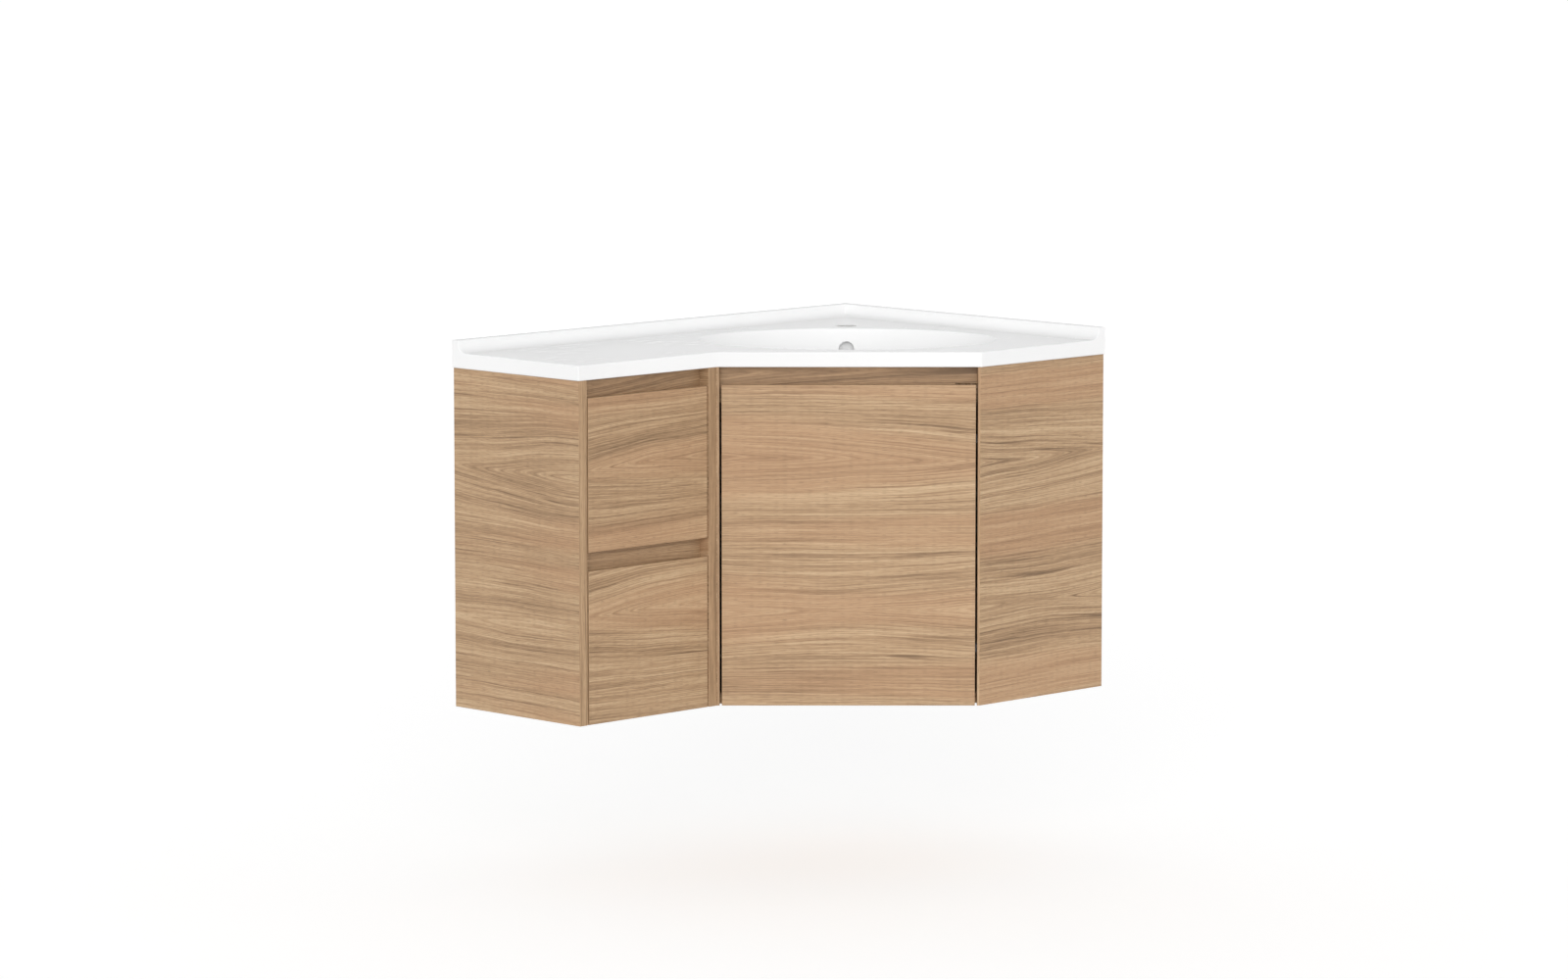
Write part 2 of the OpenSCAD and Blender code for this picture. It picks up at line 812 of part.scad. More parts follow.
// The pair of runners of one drawer, mirrored about the middle of the bay
module runner_pair(box_z) {
    middle = (bay_left + bay_right) / 2;
    translate([middle, 0, box_z + box_h / 2]) {
        translate([-(middle - bay_right), 0, 0]) children();
        mirror([1, 0, 0]) translate([-(middle - bay_right), 0, 0]) children();
    }
}

play = 1;           // clearance between a member's web or lips and the next member
ball_room = 2;      // clearance above and below a member, where the balls run
half_fixed = runner_h / 2;
half_middle = half_fixed - runner_t - ball_room;
half_inner = half_middle - runner_t - ball_room;
middle_web = runner_t + play;
inner_web = runner_space - runner_t;

module runner_fixed(box_z) {
    runner_pair(box_z) channel(0, inner_web - play, half_fixed);
}

module runner_middle(box_z) {
    runner_pair(box_z) channel(middle_web, inner_web - play, half_middle);
}

module runner_inner(box_z) {
    runner_pair(box_z) channel(inner_web, middle_web + runner_t + play, half_inner);
}

module upper_drawer_front() { color(oak) in_room() drawer_front(front_h + pull_mid, upper_box_z); }
module upper_drawer_left_side() { color(lining) in_room() left_side(upper_box_z); }
module upper_drawer_right_side() { color(lining) in_room() right_side(upper_box_z); }
module upper_drawer_back() { color(lining) in_room() drawer_back(upper_box_z); }
module upper_drawer_bottom() { color(lining) in_room() drawer_bottom(upper_box_z); }
module upper_drawer_dowels() { color(birch) in_room() drawer_dowels(upper_box_z); }
module upper_runner_fixed() { color(zinc) in_room() runner_fixed(upper_box_z); }
module upper_runner_middle() { color(zinc) in_room() runner_middle(upper_box_z); }
module upper_runner_inner() { color(zinc) in_room() runner_inner(upper_box_z); }
module lower_drawer_front() { color(oak) in_room() drawer_front(0, lower_box_z); }
module lower_drawer_left_side() { color(lining) in_room() left_side(lower_box_z); }
module lower_drawer_right_side() { color(lining) in_room() right_side(lower_box_z); }
module lower_drawer_back() { color(lining) in_room() drawer_back(lower_box_z); }
module lower_drawer_bottom() { color(lining) in_room() drawer_bottom(lower_box_z); }
module lower_drawer_dowels() { color(birch) in_room() drawer_dowels(lower_box_z); }
module lower_runner_fixed() { color(zinc) in_room() runner_fixed(lower_box_z); }
module lower_runner_middle() { color(zinc) in_room() runner_middle(lower_box_z); }
module lower_runner_inner() { color(zinc) in_room() runner_inner(lower_box_z); }

// ---- Top ----

// The bowl as a solid, grown by a wall; it leans back as it goes down
module bowl_solid(grow) {
    half_long = bowl_long / 2 + grow;
    half_wide = bowl_wide / 2 + grow;
    depth = bowl_depth + grow;
    lean = [
        [1, 0, 0, 0],
        [0, 1, -bowl_lean, bowl_y],
        [0, 0, 1, rim_z],
        [0, 0, 0, 1]];
    at_door() multmatrix(lean) scale([half_long / half_wide, 1, 1])
        rotate_extrude($fn = 96)
            polygon([for (p = bowl_outline) [p[0] * half_wide, -p[1] * depth]]);
}

module top_plan() {
    tip = cab_short + end_depth + overhang * sqrt(2);
    polygon([
        [0, 0], [cab_long + overhang, 0], [cab_long + overhang, end_depth + overhang],
        [tip - end_depth - overhang, end_depth + overhang],
        [tip - cab_short - overhang, cab_short + overhang], [0, cab_short + overhang]]);
}

module upstand_profile() {
    square([upstand_t, upstand_h]);
    translate([upstand_t, 0]) difference() {
        square(cove_r);
        translate([cove_r, cove_r]) circle(r = cove_r);
    }
}

// Upstand along the wall that X runs beside
module upstand(length) {
    translate([0, 0, rim_z]) rotate([90, 0, 90]) linear_extrude(length) upstand_profile();
}

module at_bowl_axis(y) {
    at_door() translate([0, y, 0]) children();
}

// The casting is drawn as two nodes, the slab and the bowl, that meet at the slab's underside
module vanity_top() {
    color(cast_white) in_room() difference() {
        union() {
            translate([0, 0, cab_h]) linear_extrude(top_t) top_plan();
            upstand(cab_long + overhang);
            mirror([1, -1, 0]) upstand(cab_short + overhang);
        }
        bowl_solid(0);
        at_bowl_axis(tap_y) translate([0, 0, cab_h - past])
            cylinder(d = tap_hole_d, h = top_t + 2 * past);
        overflow_bore();
    }
}

module vanity_bowl() {
    color(cast_white) in_room() difference() {
        intersection() {
            bowl_solid(bowl_wall);
            translate([0, 0, cab_h - far]) cube(far);
        }
        bowl_solid(0);
        at_bowl_axis(waste_y) {
            translate([0, 0, floor_z - 2 * bowl_wall]) cylinder(d = waste_hole_d, h = 3 * bowl_wall);
            translate([0, 0, floor_z - seat_depth])
                cylinder(d = flange_d + 2 * seat_clear, h = bowl_wall);
        }
        overflow_bore();
    }
}

// Where the grown bowl's back wall is, at a height below the rim
function wall_back(grow, low) =
    bowl_y + bowl_lean * low
    + (bowl_wide / 2 + grow) * (1 - (1 - wall_foot[0]) * low / (wall_foot[1] * (bowl_depth + grow)));
channel_room = 8;   // depth of the water's way behind the bowl
channel_skin = 3;
channel_w = overflow_d + 8;

module overflow_bore() {
    start = wall_back(0, overflow_low) - 2 * bowl_wall;
    stop = wall_back(bowl_wall, overflow_low) + channel_room / 2;
    at_bowl_axis(start) translate([0, 0, rim_z - overflow_low]) rotate([-90, 0, 0])
        cylinder(d = overflow_d, h = stop - start);
}

// Side view of the bowl's back half, grown, from the underside of the top to the waste
module back_section(grow) {
    depth = bowl_depth + grow;
    intersection() {
        polygon(concat(
            [[waste_y, 0]],
            [for (i = [1 : len(bowl_outline) - 1])
                let (p = bowl_outline[i])
                [bowl_y + bowl_lean * p[1] * depth + p[0] * (bowl_wide / 2 + grow), -p[1] * depth]],
            [[waste_y, -depth]]));
        translate([0, -far - top_t]) square(far);
    }
}

module back_slice(grow, width) {
    at_door() translate([-width / 2, 0, rim_z]) rotate([90, 0, 90])
        linear_extrude(width) back_section(grow);
}

module overflow_channel() {
    outer = bowl_wall + channel_room + channel_skin;
    color(cast_white) in_room() difference() {
        union() {
            back_slice(outer, channel_w + 2 * channel_skin);
            at_bowl_axis(waste_y) translate([0, 0, collar_z])
                cylinder(d = flange_d, h = collar_h + bowl_wall);
        }
        back_slice(bowl_wall + channel_room, channel_w);
        bowl_solid(bowl_wall + eps);
        at_bowl_axis(waste_y) translate([0, 0, collar_z - past]) cylinder(d = waste_hole_d, h = far);
    }
}

// ---- Waste ----

module at_waste() {
    at_bowl_axis(waste_y) children();
}

tube_wall = 3.5;
slot_w = 12;        // overflow slots in the waste, at the collar's height
slot_h = 5;
slot_up = 3;
hub_h = 10;
hub_wall = 2.5;
spoke_w = 4;
stem_tail = 4;      // how far the plug's stem reaches below the hub
plug_t = 3;
plug_dome = 2;
nut_flange_t = 3;

module waste_body() {
    bore_d = tail_d - 2 * tube_wall;
    color(chrome) in_room() at_waste() difference() {
        union() {
            translate([0, 0, floor_z - seat_depth]) cylinder(d = flange_d, h = seat_depth);
            translate([0, 0, thread_z]) cylinder(d = thread_d, h = floor_z - thread_z);
            translate([0, 0, tail_z]) cylinder(d = tail_d, h = floor_z - tail_z);
        }
        difference() {
            translate([0, 0, tail_z - past]) cylinder(d = bore_d, h = floor_z - tail_z + 2 * past);
            translate([0, 0, hub_z]) {
                cylinder(d = stem_d + 2 * (eps + hub_wall), h = hub_h);
                translate([-bore_d, -spoke_w / 2, 0]) cube([2 * bore_d, spoke_w, hub_h]);
            }
        }
        translate([0, 0, hub_z - past]) cylinder(d = stem_d + 2 * eps, h = hub_h + 2 * past);
        translate([-slot_w / 2, -thread_d, collar_z + slot_up]) cube([slot_w, 2 * thread_d, slot_h]);
    }
}

module waste_seal() {
    color(rubber) in_room() at_waste() translate([0, 0, collar_z - seal_t]) difference() {
        cylinder(d = flange_d - 2, h = seal_t);
        translate([0, 0, -past]) cylinder(d = thread_d + 2 * slip, h = seal_t + 2 * past);
    }
}

module waste_nut() {
    color(chrome) in_room() at_waste() translate([0, 0, nut_z]) difference() {
        union() {
            cylinder(d = flange_d - 4, h = nut_h, $fn = 6);
            translate([0, 0, nut_h - nut_flange_t]) cylinder(d = flange_d - 4, h = nut_flange_t);
        }
        translate([0, 0, -past]) cylinder(d = thread_d + 2 * slip, h = nut_h + 2 * past);
    }
}

module waste_plug() {
    color(chrome) in_room() at_waste() {
        translate([0, 0, floor_z + soft_gap]) {
            cylinder(d = plug_d, h = plug_t);
            translate([0, 0, plug_t]) cylinder(d1 = plug_d, d2 = plug_d - 5, h = plug_dome);
        }
        translate([0, 0, hub_z - stem_tail]) cylinder(d = stem_d, h = floor_z + past - hub_z + stem_tail);
    }
}

left_end_panel();
drawer_gable();
corner_gable();
right_end_panel();
drawer_bay_base();
corner_base();
drawer_bay_back();
corner_back_long();
corner_back_short();
drawer_top_rail();
drawer_mid_rail();
door_pull_rail();
hanging_rail_drawers();
hanging_rail_long();
hanging_rail_short();
lower_rail_drawers();
lower_rail_long();
lower_rail_short();
cam_locks();
cam_bolts();
joining_sleeves();
joining_screws();
pull_rail_brackets();
hinge_plates();
hinge_arms();
hinge_fixing_screws();
upper_runner_fixed();
lower_runner_fixed();
vanity_top();
vanity_bowl();
overflow_channel();
waste_body();
waste_seal();
waste_nut();
waste_plug();
door_panel();
hinge_cups();
hinge_pins();
cup_screws();
door_buffers();
upper_drawer_front();
upper_drawer_left_side();
upper_drawer_right_side();
upper_drawer_back();
upper_drawer_bottom();
upper_drawer_dowels();
upper_runner_inner();
upper_runner_middle();
lower_drawer_front();
lower_drawer_left_side();
lower_drawer_right_side();
lower_drawer_back();
lower_drawer_bottom();
lower_drawer_dowels();
lower_runner_inner();
lower_runner_middle();
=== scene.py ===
import math

import bmesh
import bpy
from mathutils import Matrix, Vector
from mathutils.geometry import tessellate_polygon


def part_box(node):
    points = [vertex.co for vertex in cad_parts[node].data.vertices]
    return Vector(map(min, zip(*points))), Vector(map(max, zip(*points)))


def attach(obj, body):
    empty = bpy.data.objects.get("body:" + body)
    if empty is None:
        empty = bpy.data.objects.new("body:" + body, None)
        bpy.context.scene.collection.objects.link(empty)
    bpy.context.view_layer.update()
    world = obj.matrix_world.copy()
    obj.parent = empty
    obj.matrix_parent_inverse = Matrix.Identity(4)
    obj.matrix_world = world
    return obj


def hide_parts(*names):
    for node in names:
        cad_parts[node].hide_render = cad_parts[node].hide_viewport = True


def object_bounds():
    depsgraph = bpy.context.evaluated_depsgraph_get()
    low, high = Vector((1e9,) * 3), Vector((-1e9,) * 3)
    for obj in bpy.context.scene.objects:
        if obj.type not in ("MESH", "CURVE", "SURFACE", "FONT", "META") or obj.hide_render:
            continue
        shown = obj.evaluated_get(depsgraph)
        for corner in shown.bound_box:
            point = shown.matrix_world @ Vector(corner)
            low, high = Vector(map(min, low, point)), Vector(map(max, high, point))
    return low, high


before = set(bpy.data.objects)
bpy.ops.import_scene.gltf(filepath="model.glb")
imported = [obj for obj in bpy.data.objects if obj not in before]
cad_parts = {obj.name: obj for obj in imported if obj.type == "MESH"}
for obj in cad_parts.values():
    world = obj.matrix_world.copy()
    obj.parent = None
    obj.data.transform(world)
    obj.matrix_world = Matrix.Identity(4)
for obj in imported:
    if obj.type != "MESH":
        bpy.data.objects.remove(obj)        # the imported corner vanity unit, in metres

cad_box = [list(corner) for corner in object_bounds()]

# ---------------------------------------------------------------------------
# Studio. The unit hangs over a pale floor, as a wall-hung cabinet does, in
# plain white light, and is seen square to its door from a little above.
# ---------------------------------------------------------------------------
CAMERA_AT = (-7.2562, -7.2609, 1.60264)
CAMERA_DOWN = 7.0127            # degrees below level
CAMERA_TURN = -45.0             # degrees about Z from looking along +Y
LENS_MM = 146.12
FLOOR_BELOW = 0.30              # the wall-hung unit's height above the floor
FLOOR_HALF = 40.0
FLOOR_GREY = 0.86
FLOOR_LIFT = 0.40               # white added to the floor where it is seen
SKY_STRENGTH = 0.82
SKY_LEVEL = 1.30                # how much brighter the walls of the room are than its ceiling
KEY_STRENGTH = 1.12
KEY_WIDTH = 40.0                # degrees that the key light fills, for soft shadows
KEY_TIP, KEY_TURN = 78, -47     # degrees from straight down, and about Z


def feed(tree, socket, value):
    """Links another socket to this one, or sets a value on it."""
    if isinstance(value, bpy.types.NodeSocket):
        tree.links.new(value, socket)
    else:
        socket.default_value = value


def place(tree, kind, settings=None, **inputs):
    """Adds a node. Its inputs are named by their labels, with _ for a space."""
    made = tree.nodes.new(kind)
    for name, value in (settings or {}).items():
        setattr(made, name, value)
    for name, value in inputs.items():
        feed(tree, made.inputs[name.replace("_", " ")], value)
    return made


def calc(tree, operation, *values):
    """Adds a Math node and gives its output."""
    made = place(tree, "ShaderNodeMath", {"operation": operation})
    for socket, value in zip(made.inputs, values):
        feed(tree, socket, value)
    return made.outputs[0]


def add(name, data):
    """Puts a new object into the scene."""
    made = bpy.data.objects.new(name, data)
    bpy.context.collection.objects.link(made)
    return made


def seen_itself(tree):
    """1 where the camera sees a surface itself, in a mirror or through glass."""
    path = tree.nodes.new("ShaderNodeLightPath").outputs
    mirrored = calc(tree, "MAXIMUM", path["Is Glossy Ray"], path["Is Transmission Ray"])
    return calc(tree, "MAXIMUM", path["Is Camera Ray"], mirrored)


camera = add("camera", bpy.data.cameras.new("camera"))
camera.location = CAMERA_AT
camera.rotation_euler = (math.radians(90 - CAMERA_DOWN), 0, math.radians(CAMERA_TURN))
camera.data.sensor_width = 36.0
camera.data.lens = LENS_MM
camera.data.clip_end = 200.0
bpy.context.scene.camera = camera
bpy.context.scene.view_settings.view_transform = "Standard"

key_light = add("key_light", bpy.data.lights.new("key_light", "SUN"))
key_light.data.energy = KEY_STRENGTH
key_light.data.angle = math.radians(KEY_WIDTH)
key_light.rotation_euler = (math.radians(KEY_TIP), 0, math.radians(KEY_TURN))

room = bpy.data.worlds.new("white_room")
bpy.context.scene.world = room
room.use_nodes = True
room_tree = room.node_tree
room_tree.nodes.clear()
steep = place(room_tree, "ShaderNodeSeparateXYZ", Vector=place(
    room_tree, "ShaderNodeTexCoord").outputs["Generated"]).outputs["Z"]
wall_light = calc(room_tree, "MULTIPLY_ADD", calc(room_tree, "ABSOLUTE", steep),
                  -SKY_STRENGTH * SKY_LEVEL, SKY_STRENGTH * (1 + SKY_LEVEL / 2))
room_light = place(room_tree, "ShaderNodeBackground", Color=(1, 1, 1, 1),
                   Strength=calc(room_tree, "MULTIPLY_ADD", seen_itself(room_tree),
                                 calc(room_tree, "SUBTRACT", 1.0, wall_light), wall_light))
place(room_tree, "ShaderNodeOutputWorld", Surface=room_light.outputs[0])

floor_z = cad_box[0][2] - FLOOR_BELOW
floor_mesh = bpy.data.meshes.new("floor")
floor_mesh.from_pydata(
    [(x * FLOOR_HALF, y * FLOOR_HALF, floor_z) for x, y in ((-1, -1), (1, -1), (1, 1), (-1, 1))],
    [], [(0, 1, 2, 3)])
floor = add("floor", floor_mesh)
floor_paint = bpy.data.materials.new("pale_floor")
floor_paint.use_nodes = True
floor_tree = floor_paint.node_tree
floor_tree.nodes.clear()
floor_matt = place(floor_tree, "ShaderNodeBsdfDiffuse", Color=(FLOOR_GREY,) * 3 + (1,))
floor_glow = place(floor_tree, "ShaderNodeEmission", Color=(1, 1, 1, 1),
                   Strength=calc(floor_tree, "MULTIPLY", seen_itself(floor_tree), FLOOR_LIFT))
floor_both = place(floor_tree, "ShaderNodeAddShader")
feed(floor_tree, floor_both.inputs[0], floor_matt.outputs[0])
feed(floor_tree, floor_both.inputs[1], floor_glow.outputs[0])
place(floor_tree, "ShaderNodeOutputMaterial", Surface=floor_both.outputs[0])
floor_mesh.materials.append(floor_paint)

# ---------------------------------------------------------------------------
# End panels and gables: four upright boards of chipboard with an oak woodgrain
# face on both sides. The edges that show are banded, with the grain along the
# edge, and the edges against the walls and under the top are left sawn.
# ---------------------------------------------------------------------------
OAK_DARK = (0.192, 0.118, 0.063, 1)
OAK_BROWN = (0.360, 0.227, 0.124, 1)
OAK_TAN = (0.484, 0.314, 0.178, 1)
OAK_PALE = (0.640, 0.456, 0.278, 1)
OAK_PINK = (0.500, 0.280, 0.152, 1)
CHIP_DARK = (0.24, 0.145, 0.080, 1)
CHIP_BROWN = (0.43, 0.29, 0.175, 1)
CHIP_PALE = (0.60, 0.44, 0.285, 1)
LOG_HALF = 0.122                # from the heart line of one log to the edge of the next
LOG_DRIFT, LOG_WAVER = 0.040, 0.005
FLAME_DEEP, FLAME_LONG = 0.046, 1.7         # depth of a flame, and metres from flame to flame
BOARD_EASE = 0.0008             # rounding of an edge that the hand meets
LEAST_EDGE = 0.030              # shorter edges belong to holes, and stay sharp
FACE_LEAN, EDGE_LEAN, BORE_LEAN = 0.75, 0.8, 0.05   # cosines: face, sawn side, wall of a bore
FACE_DEEP = 0.0015              # what lies deeper is the floor of a bore or groove
BAND_SHIFT = 0.37               # takes the edges' figure away from the faces'
MERGE, FLAT_WITHIN = 2e-5, 0.6  # metres and degrees, when triangles are joined into faces
CORNER = 35                     # degrees between the faces of an edge that can be rounded
BOARD_CREASE = 48               # degrees from which an edge stays sharp in the shading
X_WAY, Y_WAY, Z_WAY = Vector((1, 0, 0)), Vector((0, 1, 0)), Vector((0, 0, 1))
DOOR_WAY = Vector((1, -1, 0)).normalized()      # from left to right across the door
DOOR_IN = Vector((1, 1, 0)).normalized()        # from the door's face into the cupboard


def shader_group(name, **takes):
    """Starts a group of shader nodes that takes a place and named values."""
    group = bpy.data.node_groups.new(name, "ShaderNodeTree")
    group.interface.new_socket("Place", in_out="INPUT", socket_type="NodeSocketVector")
    for label, value in takes.items():
        kind = "NodeSocketColor" if isinstance(value, tuple) else "NodeSocketFloat"
        group.interface.new_socket(label, in_out="INPUT", socket_type=kind).default_value = value
    given = place(group, "NodeGroupInput").outputs
    return group, given["Place"], given


def giving(group, **values):
    """Ends a group with the values that it gives."""
    for label in values:
        kind = "NodeSocketColor" if label == "Color" else "NodeSocketFloat"
        group.interface.new_socket(label, in_out="OUTPUT", socket_type=kind)
    place(group, "NodeGroupOutput", **values)
    return group


def noise(tree, spot, scale, detail):
    """Cloudy noise, by its features per metre."""
    return place(tree, "ShaderNodeTexNoise", Vector=spot, Scale=scale,
                 Detail=detail).outputs["Fac"]


def scaled(tree, spot, scale, turn=(0, 0, 0)):
    """A place turned and then scaled, so that noise of scale 1 there is drawn out into lines."""
    return place(tree, "ShaderNodeMapping", Vector=spot, Rotation=turn, Scale=scale).outputs[0]


def streaks(tree, x, y, along, across, detail=1.0, shift=0.0):
    """Noise drawn out along a board, by its features per metre along and across the grain."""
    spot = place(tree, "ShaderNodeCombineXYZ", X=calc(tree, "MULTIPLY_ADD", x, along, shift),
                 Y=calc(tree, "MULTIPLY", y, across))
    made = place(tree, "ShaderNodeTexNoise", {"noise_dimensions": "2D"},
                 Vector=spot.outputs[0], Scale=1.0, Detail=detail, Roughness=0.55)
    return made.outputs["Fac"]


def rise(tree, value, low, high):
    """0 below low, 1 above high, and a smooth rise between them."""
    made = place(tree, "ShaderNodeMapRange", {"interpolation_type": "SMOOTHSTEP"},
                 Value=value, From_Min=low, From_Max=high)
    return made.outputs["Result"]


def mixed(tree, factor, first, second, blend="MIX"):
    """Mixes two colours."""
    made = place(tree, "ShaderNodeMix", {"data_type": "RGBA", "blend_type": blend})
    for socket, value in ((0, factor), (6, first), (7, second)):
        feed(tree, made.inputs[socket], value)
    return made.outputs[2]


def ramp(tree, value, *stops):
    """A colour for each share of the value."""
    made = place(tree, "ShaderNodeValToRGB", Fac=value)
    elements = made.color_ramp.elements
    elements[0].position, elements[0].color = stops[0]
    elements[1].position, elements[1].color = stops[-1]
    for position, colour in stops[1:-1]:
        elements.new(position).color = colour
    return made.outputs["Color"]


def make_oak_grain():
    """Plain-sawn oak. Its growth rings run nearly straight, and close into long flames where
    the cut comes near the heart of the log. Fine fibres and short dark pores lie along them."""
    group, spot, given = shader_group("oak_grain", Flames=1.0, Contrast=1.0, Shade=0.0)
    split = place(group, "ShaderNodeSeparateXYZ", Vector=spot).outputs
    along, across = split["X"], split["Y"]

    def about_zero(fac):
        return calc(group, "SUBTRACT", fac, 0.5)

    # Distance from the heart of the log, which dips below the face and comes up again
    laid = calc(group, "MULTIPLY_ADD", about_zero(streaks(group, along, across, 1.1, 4.0, 1.0)),
                LOG_DRIFT, across)
    laid = calc(group, "MULTIPLY_ADD",
                about_zero(streaks(group, along, across, 7.0, 22.0, 2.0, 7.3)), LOG_WAVER, laid)
    aside = calc(group, "PINGPONG", laid, LOG_HALF)
    log = calc(group, "ROUND", calc(group, "DIVIDE", laid, 2 * LOG_HALF))
    below = calc(group, "SINE", calc(group, "MULTIPLY_ADD", along, math.tau / FLAME_LONG,
                                     calc(group, "MULTIPLY", log, 1.6)))
    below = calc(group, "MULTIPLY_ADD", below, 0.5, calc(
        group, "MULTIPLY", about_zero(streaks(group, along, log, 4.0, 31.7, 1.0, 4.0)), 0.3))
    below = calc(group, "MULTIPLY", calc(group, "MULTIPLY", below, FLAME_DEEP), given["Flames"])
    below = calc(group, "MULTIPLY", below,
                 calc(group, "SUBTRACT", 1.0, rise(group, aside, 0.1 * LOG_HALF, LOG_HALF)))
    ring_at = calc(group, "ADD", below, calc(group, "SQRT", calc(
        group, "MULTIPLY_ADD", aside, aside, 0.003 ** 2)))
    # The two sides of a log, and one log and the next, don't mirror each other
    slip = calc(group, "MULTIPLY", across, 9.0)
    bands = streaks(group, along, ring_at, 0.6, 34.0, 1.0, slip)
    rings = streaks(group, along, ring_at, 1.1, 200.0, 2.0, slip)
    fibres = streaks(group, along, ring_at, 5.0, 560.0, 2.0, 5.9)
    dashes = streaks(group, along, across, 40.0, 900.0, 1.0, 8.2)
    # Thin dark lines end some years' growth, and fade in and out along the board
    line = calc(group, "ABSOLUTE",
                about_zero(streaks(group, along, ring_at, 1.3, 120.0, 0.0, slip)))
    line = calc(group, "SUBTRACT", 1.0, rise(group, line, 0.0, 0.05))
    late = calc(group, "MULTIPLY", line, rise(
        group, streaks(group, along, ring_at, 2.6, 30.0, 1.0, 9.4), 0.42, 0.60))
    tone = calc(group, "MULTIPLY", about_zero(bands), 0.60)
    for amount, part in ((0.74, rings), (1.20, fibres), (0.50, dashes)):
        tone = calc(group, "MULTIPLY_ADD", about_zero(part), amount, tone)
    tone = calc(group, "MULTIPLY_ADD", late, -0.36, tone)
    tone = calc(group, "MULTIPLY_ADD", tone, given["Contrast"], 0.597)
    # Shade darkens the board's tone: painted shade on the pull rails, darker grain on the gable
    # bands
    tone = calc(group, "SUBTRACT", tone, given["Shade"])
    colour = ramp(group, tone, (0.0, OAK_DARK), (0.34, OAK_BROWN), (0.60, OAK_TAN),
                  (1.0, OAK_PALE))
    pink = rise(group, streaks(group, along, ring_at, 0.9, 16.0, 1.0, 2.2), 0.46, 0.72)
    # Less pink where a board is drawn darker: the pull rails' painted shade and the gable bands'
    # darker grain both lean olive
    pink = calc(group, "MULTIPLY", pink, calc(group, "MULTIPLY_ADD", given["Shade"], -1.5, 0.42))
    colour = mixed(group, pink, colour, OAK_PINK)
    pores = rise(group, streaks(group, along, across, 75.0, 2300.0, 0.0, 0.4), 0.64, 0.78)
    return giving(group, Color=mixed(group, calc(group, "MULTIPLY", pores, 0.40), colour, OAK_DARK),
                  Roughness=calc(group, "MULTIPLY_ADD", rings, 0.14, 0.42),
                  Height=calc(group, "SUBTRACT", calc(group, "MULTIPLY", fibres, 0.35), pores))


def make_chipboard_flakes():
    """Sawn chipboard: pressed flakes of several woods, with pits between them."""
    group, spot, _ = shader_group("chipboard_flakes")
    flakes = place(group, "ShaderNodeTexVoronoi", Vector=spot, Scale=450.0).outputs
    dust = place(group, "ShaderNodeTexNoise", Vector=spot, Scale=2600.0, Detail=2.0).outputs
    shade = place(group, "ShaderNodeSeparateColor", Color=flakes["Color"]).outputs[0]
    colour = ramp(group, shade, (0.0, CHIP_DARK), (0.45, CHIP_BROWN), (1.0, CHIP_PALE))
    return giving(group, Color=mixed(group, 0.35, colour, dust["Color"], "SOFT_LIGHT"),
                  Height=calc(group, "SUBTRACT", dust["Fac"], flakes["Distance"]))


def new_material(name, group, bump, settings=None, laid_by=None, **inputs):
    """A material with a group's colour, roughness and bump, laid by the piece's own place or
    by its map. The bump has a strength and a depth in metres."""
    made = bpy.data.materials.new(name)
    made.use_nodes = True
    tree = made.node_tree
    shader = tree.nodes["Principled BSDF"].inputs
    for label, value in (settings or {}).items():
        shader[label].default_value = value
    spot = (place(tree, "ShaderNodeUVMap", {"uv_map": laid_by}).outputs[0] if laid_by
            else place(tree, "ShaderNodeTexCoord").outputs["Object"])
    given = place(tree, "ShaderNodeGroup", {"node_tree": group}, Place=spot, **inputs).outputs
    feed(tree, shader["Base Color"], given["Color"])
    if "Roughness" in given:
        feed(tree, shader["Roughness"], given["Roughness"])
    raised = place(tree, "ShaderNodeBump", Height=given["Height"], Strength=bump[0],
                   Distance=bump[1])
    feed(tree, shader["Normal"], raised.outputs[0])
    return made


oak_grain = make_oak_grain()


def make_oak(name, flames, contrast, shade):
    """Oak woodgrain, laid by the board's own map in metres."""
    return new_material(name, oak_grain, (0.25, 0.0002), {"Specular IOR Level": 0.35}, "grain",
                        Flames=flames, Contrast=contrast, Shade=shade)


oak_face = make_oak("oak_face", 1.0, 1.0, 0.0)
oak_band = make_oak("oak_edge_band", 0.25, 0.7, 0.0)
dark_band = make_oak("oak_gable_band", 0.25, 0.7, 0.22)
chipboard = new_material("sawn_chipboard", make_chipboard_flakes(), (0.5, 0.0004),
                         {"Roughness": 0.85})


def merged_copy(node):
    """The node's own form, with its triangles joined into whole faces."""
    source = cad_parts[node].data
    work = bmesh.new()
    corners = [work.verts.new(vertex.co) for vertex in source.vertices]
    for polygon in source.polygons:
        work.faces.new([corners[i] for i in polygon.vertices])
    bmesh.ops.remove_doubles(work, verts=work.verts, dist=MERGE)
    bmesh.ops.dissolve_limit(work, angle_limit=math.radians(FLAT_WITHIN), verts=work.verts,
                             edges=work.edges)
    return work


def ease_edges(work, ease, segments, wanted):
    """Rounds the outer edges that are wanted."""
    outer = [edge for edge in work.edges
             if len(edge.link_faces) == 2 and edge.is_convex
             and edge.calc_face_angle() > math.radians(CORNER) and wanted(edge)]
    bmesh.ops.bevel(work, geom=outer, offset=ease, segments=segments, profile=0.5,
                    affect="EDGES", clamp_overlap=True)


def as_piece(mesh, name, body, nodes, crease):
    """Shades the mesh smooth below the crease's angle and has it ride on its body."""
    mesh.polygons.foreach_set("use_smooth", [True] * len(mesh.polygons))
    mesh.set_sharp_from_angle(angle=math.radians(crease))
    piece = add(name, mesh)
    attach(piece, body)
    if nodes:
        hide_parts(*nodes)
    return piece


